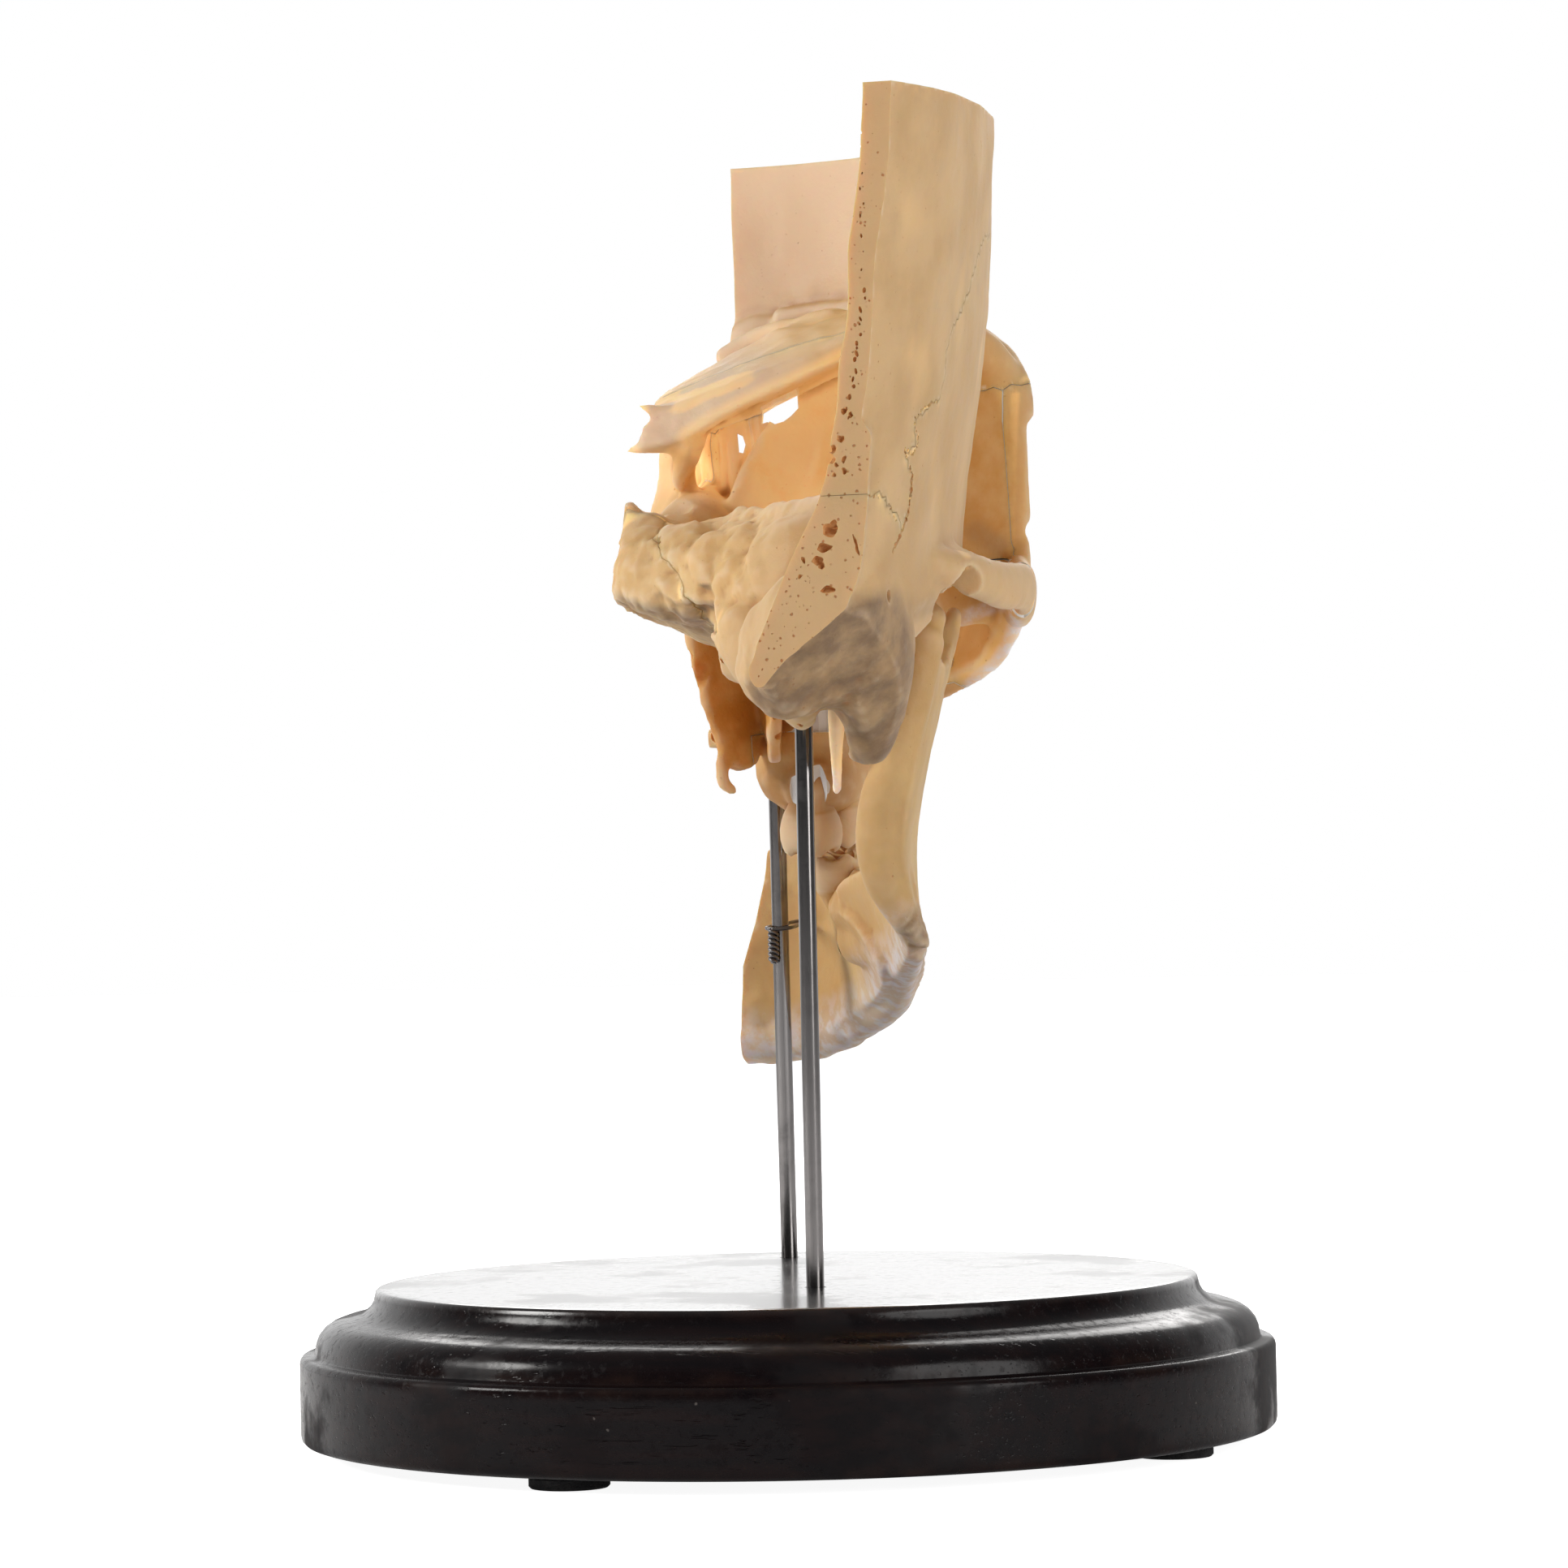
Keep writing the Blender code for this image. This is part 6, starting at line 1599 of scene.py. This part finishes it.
def makeSkull():
    stock = sawnStock()
    print("skull stock", len(stock.data.polygons))
    stained(stock, boneFinish)
    for hollows in (crackBites(stock), airCellHollows()):
        combined(stock, [stained(unionOf(hollows), poreFinish)], "DIFFERENCE")
    regions = (
        ("parietal", parietalRegion), ("frontal", frontalRegion), ("occipital", occipitalRegion),
        ("temporal", temporalRegion), ("zygomatic", zygomaticRegion), ("maxilla", maxillaRegion),
    )
    bones = {name: carve(stock, name, region) for name, region in regions}
    bones["sphenoid"] = largest(stock)
    print("skull parted")
    porous(bones["parietal"], topOrMiddle, 3)
    porous(bones["frontal"], topOrMiddle, 8)
    combined(bones["maxilla"], teeth(upperTeeth, toothShape["bite"], 1), "UNION")
    stainsAndShade = (
        # dark brown: painted shade under the sawn strip, under the pyramid and behind the mastoid, and darker patches
        # by the tuberosity and the ear
        (shadedSlope, 0.95), (shadedPyramidUnderside, 1.0), (near((17, 47, -41), (9, 7, 8)), 0.45),
        (near((47, -17, -20), (8, 12, 14)), 0.6), (rim(((51, 3), (54, 0), (56, -4)), 2.4, -40), 0.3),
    )
    glowAmbers = (
        # painted glow: the amber of light shining through thin bone, on the wings, plates and rims that these masks
        # pick
        (near((30, 43, 14), (24, 9, 22)), 0.95), (near((9, 40, -24), (14, 10, 18)), 1.0),
        (near((4, 52, 14), (13, 16, 17)), 0.95), (rim(((5, 22.6), (12, 26), (19, 29), (25, 31.4), (32, 34.8)), 3.4, 30), 0.85),
        (near((26, 56, 41), (20, 18, 7)), 0.35),
        (petrousMask, 0.25), (rim(((57.6, 26), (56.8, 12), (56, -1.5)), 1.0, 50), 1.0),
        (near((3, 37, 18), (4, 4, 5)), 0.9), (near((0, 39, 12), (6, 5, 9)), 0.4),
        (near((52, 52, 8), (10, 14, 30)), 0.4), (near((48, 58, -16), (12, 8, 10)), 0.9),
    )
    # painted shade: deep orange-brown in the fossa behind the cheek, between the pterygoid plates and in the other
    # recesses these masks pick
    shadeDeeps = (
        (near((50, 51, 10), (10, 16, 28)), 1.0), (near((9, 40, -24), (15, 11, 18)), 1.0),
        (near((48, 57, -16), (10, 8, 9)), 0.3), (near((36, 60, -30), (16, 16, 10)), 0.5),
        (near((2.4, 37, 17), (3, 4, 4.5)), 0.7), (near((17, 47, -41), (10, 8, 9)), 0.8),
        (rim(((14, 26.6), (19, 28.8), (25, 31.2), (32, 34.6)), 1.3, 30), 0.3),
    )
    # painted highlight: pale lilac sheen along the rim of the cheek plate, the tips of the styloid and pterygoid plate
    # and the ear edge
    rimSheens = (
        (rim(((57.6, -12.6), (55.4, -17.6), (52, -22), (46.4, -26)), 2.2, 45), 0.9),
        (near((33.5, 9, -36.5), (3, 5, 5)), 1.0), (near((15, 36, -37), (4, 4, 3)), 0.6),
        (rim(((44, -14), (50, -11.5), (58, -9.4)), 1.6, 0), 0.6),
    )
    holes = [(near((x, saw["rear"] + 0.4 + deep / 2, z), (wide * 0.95, deep / 2 + 0.2, high * 0.95)), 1.0)
             for x, z, wide, deep, high in airCells]
    for name, piece in bones.items():
        largest(piece)
        others = [other for other in bones.values() if other != piece]
        paintLayers(piece, skullSawn, stainsAndShade, glowAmbers, holes if name in ("temporal", "parietal") else (),
                    shadeDeeps, rimSheens, others)
    for name, piece in bones.items():
        dressed(piece, name, boneFinish)
        print("bone", name, len(piece.data.polygons))
    return bones


def lowerBorder(place, normal):
    # painted rim highlight along the lower edge of the jaw, rising from the chin to the angle
    edge = np.interp(place[:, 1], (8, 27, 41, 54, 66, 80), (-62.5, -71.5, -77, -83.5, -89, -96))
    return np.clip((edge + 8.5 - place[:, 2]) / 8, 0, 1) * 0.85


def makeJaw():
    piece = fused("mandible", jawMasses(), 12)
    combined(piece, [fused("hollows", jawHollows(), 1)], "DIFFERENCE")
    roughen(piece, jawRules)
    combined(piece, [prism("y", (*saw["jaw"], (-150, -40), (-150, -120)), 50, 150)], "DIFFERENCE")
    jawEdges = (
        (((-4, 86, -60), (2, 87, -59), (6, 86, -59)), 1.6, 2.6),
        (((48, 3.5, -58), (48.5, 4, -62), (46, 6, -66), (44, 14, -70)), 1.4, 2.8),
    )
    combined(piece, [fused("nicks", nicks(jawEdges), 1)], "DIFFERENCE")
    porous(piece, jawSawn, 11)
    combined(piece, teeth(lowerTeeth, toothShape["bite"] - toothShape["biteGap"], -1), "UNION")
    largest(piece)
    # dark brown patches at the tip of the angle and along the tooth row, for stains and painted shade
    stainsAndShade = ((near((46.4, 7, -61), (3.4, 6, 4.4)), 0.8), (near((16, 62, -58), (10, 22, 5)), 0.4))
    # painted shade: deep orange-brown in two patches of the jaw body
    shadeDeeps = ((near((30, 44, -66), (14, 24, 12)), 0.35), (near((10, 74, -78), (12, 14, 14)), 0.4))
    rimSheens = ((lowerBorder, 1.0),)
    paintLayers(piece, jawSawn, stainsAndShade, (), (), shadeDeeps, rimSheens)
    dressed(piece, "mandible", jawFinish)
    print("jaw", len(piece.data.polygons))


# Turned base

baseShape = {
    "bottom": 2.3, "sides": 256,
    "profile": (
        # radius and height above the underside, from the top edge down
        (69.2, 25.6), (69.7, 25.45), (70.0, 25.1), (70.15, 24.4), (70.4, 23.4), (71.0, 22.4), (72.2, 21.45),
        (74.2, 20.75), (76.2, 20.3), (77.6, 19.8), (78.8, 19.0), (79.7, 17.9), (80.2, 16.6), (80.35, 15.5),
        (80.5, 14.95), (80.8, 14.72), (82.0, 14.6), (82.6, 14.35), (82.9, 13.9), (83.0, 13.4), (83.0, 12.0), (83.0, 2.8), (83.0, 1.4),
        (82.85, 0.7), (82.4, 0.2), (81.8, 0.0),
    ),
}
rodShape = {
    "radius": 1.5, "sink": 9.0, "gap": 0.3,
    "front": ((-10.5, 20.5), (-10.5, 20.6, 134.5)), "rear": ((13.4, -52.3), (13.4, -49.55, 123.2)),
}


def latheTree(name):
    # turns the points of a profile round the Z axis
    tree = bpy.data.node_groups.new(name, "GeometryNodeTree")
    face = tree.interface
    face.new_socket("Geometry", in_out="INPUT", socket_type="NodeSocketGeometry")
    ids = {}
    for label in ("Sides", "Rows"):
        ids[label] = face.new_socket(label, in_out="INPUT", socket_type="NodeSocketInt").identifier
    ids["Finish"] = face.new_socket("Finish", in_out="INPUT", socket_type="NodeSocketMaterial").identifier
    face.new_socket("Geometry", in_out="OUTPUT", socket_type="NodeSocketGeometry")
    add, link = tree.nodes.new, tree.links.new
    start, end = add("NodeGroupInput"), add("NodeGroupOutput")
    grid = add("GeometryNodeMeshGrid")
    link(start.outputs["Rows"], grid.inputs["Vertices X"])
    around = mathNode(tree, "ADD", start.outputs["Sides"], 1)
    link(around, grid.inputs["Vertices Y"])
    index = add("GeometryNodeInputIndex").outputs[0]
    row = mathNode(tree, "FLOOR", mathNode(tree, "DIVIDE", index, around))
    column = mathNode(tree, "SUBTRACT", index, mathNode(tree, "MULTIPLY", row, around))
    share = mathNode(tree, "DIVIDE", column, start.outputs["Sides"])
    angle = mathNode(tree, "MULTIPLY", share, math.tau)
    sample = add("GeometryNodeSampleIndex")
    sample.data_type = "FLOAT_VECTOR"
    link(start.outputs["Geometry"], sample.inputs["Geometry"])
    link(add("GeometryNodeInputPosition").outputs[0], sample.inputs["Value"])
    link(row, sample.inputs["Index"])
    split, join = add("ShaderNodeSeparateXYZ"), add("ShaderNodeCombineXYZ")
    link(sample.outputs["Value"], split.inputs[0])
    link(mathNode(tree, "MULTIPLY", split.outputs[0], mathNode(tree, "COSINE", angle)), join.inputs[0])
    link(mathNode(tree, "MULTIPLY", split.outputs[0], mathNode(tree, "SINE", angle)), join.inputs[1])
    link(split.outputs[2], join.inputs[2])
    move, weld = add("GeometryNodeSetPosition"), add("GeometryNodeMergeByDistance")
    real, coat = add("GeometryNodeRealizeInstances"), add("GeometryNodeSetMaterial")
    link(grid.outputs["Mesh"], move.inputs["Geometry"])
    link(join.outputs[0], move.inputs["Position"])
    link(move.outputs[0], weld.inputs["Geometry"])
    weld.inputs["Distance"].default_value = 0.00001
    link(weld.outputs[0], real.inputs[0])
    link(real.outputs[0], coat.inputs["Geometry"])
    link(start.outputs["Finish"], coat.inputs["Material"])
    link(coat.outputs[0], end.inputs[0])
    return tree, ids


def onLine(ends, height):
    # the point of a rod's axis at this height
    (footX, footY), (topX, topY, topZ) = ends
    foot = baseShape["bottom"] + baseShape["profile"][0][1]
    share = (height - foot) / (topZ - foot)
    return footX + (topX - footX) * share, footY + (topY - footY) * share, height


def bar(name, ends, low, high, radius, sides=48, round=0.0):
    # a round bar on a rod's axis, with its rims eased where asked
    points = [Vector(onLine(ends, height)) for height in (low, high)]
    turn = (points[1] - points[0]).to_track_quat("Z", "Y")
    length = (points[1] - points[0]).length
    rows = [(0, radius - round), (round, radius), (length - round, radius), (length, radius - round)]
    if not round:
        rows = [(0, radius), (length, radius)]
    rings = [[points[0]]]
    for along, reach in rows:
        rings.append([
            points[0] + turn @ Vector((reach * math.cos(math.tau * k / sides), reach * math.sin(math.tau * k / sides), along))
            for k in range(sides)])
    rings.append([points[1]])
    work = bmesh.new()
    skin(work, rings)
    return fromBmesh(name, work)


def makeBase():
    profile = [(0.0, baseShape["profile"][0][1])]
    profile += [(r, baseShape["profile"][0][1]) for r in (20, 45, 60, 67)]
    profile += list(baseShape["profile"]) + [(60, 0.0), (0.0, 0.0)]
    mesh = bpy.data.meshes.new("profile")
    mesh.from_pydata([(r * mm, 0, (h + baseShape["bottom"]) * mm) for r, h in profile],
                     [(i, i + 1) for i in range(len(profile) - 1)], [])
    wood = keep("base", mesh)
    tree, ids = latheTree("lathe")
    turning = wood.modifiers.new("Turning", "NODES")
    turning.node_group = tree
    turning[ids["Sides"]], turning[ids["Rows"]] = baseShape["sides"], len(profile)
    turning[ids["Finish"]] = woodFinish
    settle(wood)
    work = bmesh.new()
    work.from_mesh(wood.data)
    bmesh.ops.recalc_face_normals(work, faces=work.faces)
    work.to_mesh(wood.data)
    work.free()
    top = baseShape["bottom"] + baseShape["profile"][0][1]
    drills = [bar("drill", rodShape[end], top - rodShape["sink"] - rodShape["gap"], top + 5,
                  rodShape["radius"] + rodShape["gap"]) for end in ("front", "rear")]
    combined(wood, drills, "DIFFERENCE")
    worn = wood.data.attributes.new("wear", "FLOAT", "POINT")
    values = []
    for vertex in wood.data.vertices:
        reach = math.hypot(vertex.co.x, vertex.co.y) / mm
        height = vertex.co.z / mm - baseShape["bottom"]
        edges = ((70.0, 25.1, 1.2), (80.3, 15.5, 1.6), (82.9, 13.9, 1.6), (82.85, 0.7, 1.4))
        values.append(max(max(0.0, 1 - math.hypot(reach - r, height - h) / size) for r, h, size in edges))
    worn.data.foreach_set("value", values)
    coat = wood.data.attributes.new("varnish", "FLOAT", "POINT")
    heights = [v.co.z / mm - baseShape["bottom"] for v in wood.data.vertices]
    coat.data.foreach_set("value", [between(((0, 0.0), (14.3, 0.0), (14.8, 0.08), (24.6, 0.12), (25.5, 1.0)), h) for h in heights])
    wood.data.shade_smooth()
    wood.data.set_sharp_from_angle(angle=math.radians(35))
    handed(wood, "base", woodFinish)
    print("base", len(wood.data.polygons))


def makeFeet():
    foot = {"height": 2.0, "radius": 6.5, "circle": 72.0, "turn": -104, "ease": 0.35}
    for i in range(4):
        angle = math.radians(foot["turn"] + 90 * i)
        centre = Vector((foot["circle"] * math.cos(angle), foot["circle"] * math.sin(angle), 0))
        rings = [[centre]]
        for height, reach in ((0, foot["radius"] - foot["ease"]), (foot["ease"], foot["radius"]),
                              (foot["height"] - foot["ease"], foot["radius"]),
                              (foot["height"], foot["radius"] - foot["ease"])):
            rings.append([centre + Vector((reach * math.cos(math.tau * k / 48), reach * math.sin(math.tau * k / 48), height))
                          for k in range(48)])
        rings.append([centre + Vector((0, 0, foot["height"]))])
        work = bmesh.new()
        skin(work, rings)
        pad = fromBmesh("pad", work)
        pad.data.shade_smooth()
        pad.data.set_sharp_from_angle(angle=math.radians(35))
        handed(pad, f"foot_{i + 1}", rubberFinish)


def makeRods():
    top = baseShape["bottom"] + baseShape["profile"][0][1]
    for end in ("front", "rear"):
        rod = bar("rod", rodShape[end], top - rodShape["sink"], rodShape[end][1][2], rodShape["radius"], 64, 0.12)
        rod.data.shade_smooth()
        rod.data.set_sharp_from_angle(angle=math.radians(30))
        handed(rod, f"rod_{end}", steelFinish)


# Wire tie

wireShape = {
    "height": 87.4, "length": 5.9, "turns": 3.4, "forward": -50.6, "side": 0.6, "behind": 2.85,
    "coil": 0.66, "wire": 0.36, "core": 0.3, "end": (13.3, -66.0, 88.9),
}


def wireTree(name):
    # a round wire along a run of edges
    tree = bpy.data.node_groups.new(name, "GeometryNodeTree")
    face = tree.interface
    face.new_socket("Geometry", in_out="INPUT", socket_type="NodeSocketGeometry")
    ids = {"Radius": face.new_socket("Radius", in_out="INPUT", socket_type="NodeSocketFloat").identifier,
           "Sides": face.new_socket("Sides", in_out="INPUT", socket_type="NodeSocketInt").identifier,
           "Finish": face.new_socket("Finish", in_out="INPUT", socket_type="NodeSocketMaterial").identifier}
    face.new_socket("Geometry", in_out="OUTPUT", socket_type="NodeSocketGeometry")
    add, link = tree.nodes.new, tree.links.new
    start, end = add("NodeGroupInput"), add("NodeGroupOutput")
    path, ring, sweep = add("GeometryNodeMeshToCurve"), add("GeometryNodeCurvePrimitiveCircle"), add("GeometryNodeCurveToMesh")
    real, coat = add("GeometryNodeRealizeInstances"), add("GeometryNodeSetMaterial")
    link(start.outputs["Geometry"], path.inputs[0])
    link(start.outputs["Radius"], ring.inputs["Radius"])
    link(start.outputs["Sides"], ring.inputs["Resolution"])
    link(path.outputs[0], sweep.inputs["Curve"])
    link(ring.outputs[0], sweep.inputs["Profile Curve"])
    sweep.inputs["Fill Caps"].default_value = True
    link(sweep.outputs[0], real.inputs[0])
    link(real.outputs[0], coat.inputs["Geometry"])
    link(start.outputs["Finish"], coat.inputs["Material"])
    link(coat.outputs[0], end.inputs[0])
    return tree, ids


def wire(points, radius, sides=12):
    mesh = bpy.data.meshes.new("path")
    mesh.from_pydata([tuple(v * mm for v in p) for p in points], [(i, i + 1) for i in range(len(points) - 1)], [])
    piece = keep("wire", mesh)
    sweep = piece.modifiers.new("Wire", "NODES")
    sweep.node_group = wires[0]
    sweep[wires[1]["Radius"]], sweep[wires[1]["Sides"]] = radius * mm, sides
    sweep[wires[1]["Finish"]] = wireFinish
    return settle(piece)


def makeWire():
    w = wireShape
    rodX, rodY = rodShape["rear"][0][0], w["forward"]
    tailX, tailY = rodX + w["side"], rodY + w["behind"]
    perTurn = 20
    count = int(w["turns"] * perTurn)
    strands = []
    for lead in (0.0, math.pi):     # two ends twisted round each other
        strands.append([(
            tailX + w["coil"] * math.cos(math.tau * i / perTurn + lead),
            tailY + w["coil"] * math.sin(math.tau * i / perTurn + lead),
            w["height"] - w["length"] * i / count) for i in range(count + 1)])
    around = rodShape["radius"] + 0.3 + w["wire"] + 0.2
    for side in (-1, 1):
        strands.append(blendRows([
            (tailX, tailY, w["height"]), (rodX + side * around * 0.8, rodY + around * 0.9, w["height"] + 0.2),
            (rodX + side * around, rodY - 0.5, w["height"] + 0.4),
            (rodX + side * around * 0.7, rodY - 8, w["height"] + 0.9),
            (w["end"][0] + side * 0.25, w["end"][1], w["end"][2])], 12))
    pieces = [wire(run, w["wire"]) for run in strands]
    pieces.append(wire([(tailX, tailY, w["height"] + 0.2), (tailX, tailY, w["height"] - w["length"])], w["core"]))
    tie = joined("tie", pieces)
    tie.data.shade_smooth()
    tie.data.set_sharp_from_angle(angle=math.radians(50))
    handed(tie, "wire_tie", wireFinish)


# Floor, light and camera

studio = {
    # strength and tint of the soft surround: seen directly, behind the stand, in front of it and overhead
    "seen": 1.0, "behind": 1.1, "front": 0.05, "over": 0.22, "floorSeen": 0.8, "floorGlow": 0.12,
    "lamps": (
        # name, place, size, power, tint
        ("key", (1.2, 0.6, 0.75), 0.5, 12.5, (1.0, 0.985, 0.96)),
        ("fill", (-1.25, 0.8, 0.5), 0.9, 8, (1.0, 0.99, 0.98)),
        ("behind", (0.2, -1.1, 0.8), 1.0, 9, (1.0, 0.98, 0.96)),
    ),
}


def makeStage():
    size = 6.0
    mesh = bpy.data.meshes.new("floor")
    mesh.from_pydata([(-size, -size, 0), (size, -size, 0), (size, size, 0), (-size, size, 0)], [], [(0, 1, 2, 3)])
    floor = keep("floor", mesh)
    material, tree, shader, place = newFinish("paleFloor")
    colour = mixNode(tree, placed(tree, blotches, place, Scale=3, Low=0.3, High=0.7), (0.93, 0.93, 0.94), (0.95, 0.95, 0.96))
    tree.links.new(colour, shader.inputs["Base Color"])
    shader.inputs["Roughness"].default_value = 0.9
    shader.inputs["Specular IOR Level"].default_value = 0.2
    shader.inputs["Emission Color"].default_value = (1, 1, 1, 1)
    direct = addNode(tree, "ShaderNodeLightPath").outputs["Is Camera Ray"]
    glow = mathNode(tree, "ADD", mathNode(tree, "MULTIPLY", direct, studio["floorSeen"]), studio["floorGlow"])
    tree.links.new(glow, shader.inputs["Emission Strength"])
    floor.data.materials.append(material)

    world = bpy.data.worlds.new("studio")
    bpy.context.scene.world = world
    world.use_nodes = True
    tree = world.node_tree
    glow = tree.nodes["Background"]
    link = tree.links.new
    aim = addNode(tree, "ShaderNodeTexCoord").outputs["Generated"]
    split = addNode(tree, "ShaderNodeSeparateXYZ")
    link(aim, split.inputs[0])
    turn = math.radians(view["turn"])
    away = mathNode(tree, "SUBTRACT", mathNode(tree, "MULTIPLY", split.outputs[0], math.sin(turn)),
                    mathNode(tree, "MULTIPLY", split.outputs[1], math.cos(turn)))
    back = rampNode(tree, away, 0.1, 0.8)
    level = mathNode(tree, "ADD", mathNode(tree, "MULTIPLY", back, studio["behind"] - studio["front"]), studio["front"])
    over = rampNode(tree, split.outputs[2], 0.1, 0.9)
    level = mathNode(tree, "ADD", mathNode(tree, "MULTIPLY", level, mathNode(tree, "SUBTRACT", 1, over)),
                     mathNode(tree, "MULTIPLY", over, studio["over"]))
    seen = addNode(tree, "ShaderNodeLightPath").outputs["Is Camera Ray"]
    hidden = mathNode(tree, "MULTIPLY", level, mathNode(tree, "SUBTRACT", 1, seen))
    link(mathNode(tree, "ADD", hidden, mathNode(tree, "MULTIPLY", seen, studio["seen"])), glow.inputs["Strength"])
    glow.inputs["Color"].default_value = (1, 1, 1, 1)
    for name, spot, width, power, tint in studio["lamps"]:
        lamp = bpy.data.lights.new(name, "AREA")
        lamp.shape, lamp.size, lamp.energy, lamp.color = "DISK", width, power, tint
        holder = bpy.data.objects.new(name, lamp)
        bpy.context.scene.collection.objects.link(holder)
        holder.location = spot
        aim = Vector((0, 0, 0.14)) - Vector(spot)
        holder.rotation_euler = aim.to_track_quat("-Z", "Y").to_euler()
    bpy.context.scene.view_settings.view_transform = "Standard"


view = {
    "place": (-0.2275, 0.8439, 0.089), "turn": 15, "up": 1.53, "roll": 1.1745, "lens": 117.2,
}


def makeCamera():
    turn, up = math.radians(view["turn"]), math.radians(view["up"])
    look = Vector((math.sin(turn) * math.cos(up), -math.cos(turn) * math.cos(up), math.sin(up)))
    data = bpy.data.cameras.new("camera")
    data.lens, data.sensor_width = view["lens"], 36
    data.clip_start = 0.01
    camera = bpy.data.objects.new("camera", data)
    bpy.context.scene.collection.objects.link(camera)
    level = look.to_track_quat("-Z", "Y").to_matrix().to_4x4()
    camera.matrix_world = (
        Matrix.Translation(view["place"]) @ level @ Matrix.Rotation(-math.radians(view["roll"]), 4, "Z"))
    bpy.context.scene.camera = camera


woodFinish = woodMaterial()
steelFinish = steelMaterial("drawnSteel", (0.27, 0.255, 0.25), 0.13, 0.02)
wireFinish = steelMaterial("bindingWire", (0.22, 0.21, 0.21), 0.35, 1.0)
rubberFinish = rubberMaterial()
wires = wireTree("roundWire")
makeSkull()
makeJaw()
makeBase()
makeFeet()
makeRods()
makeWire()
makeStage()
makeCamera()
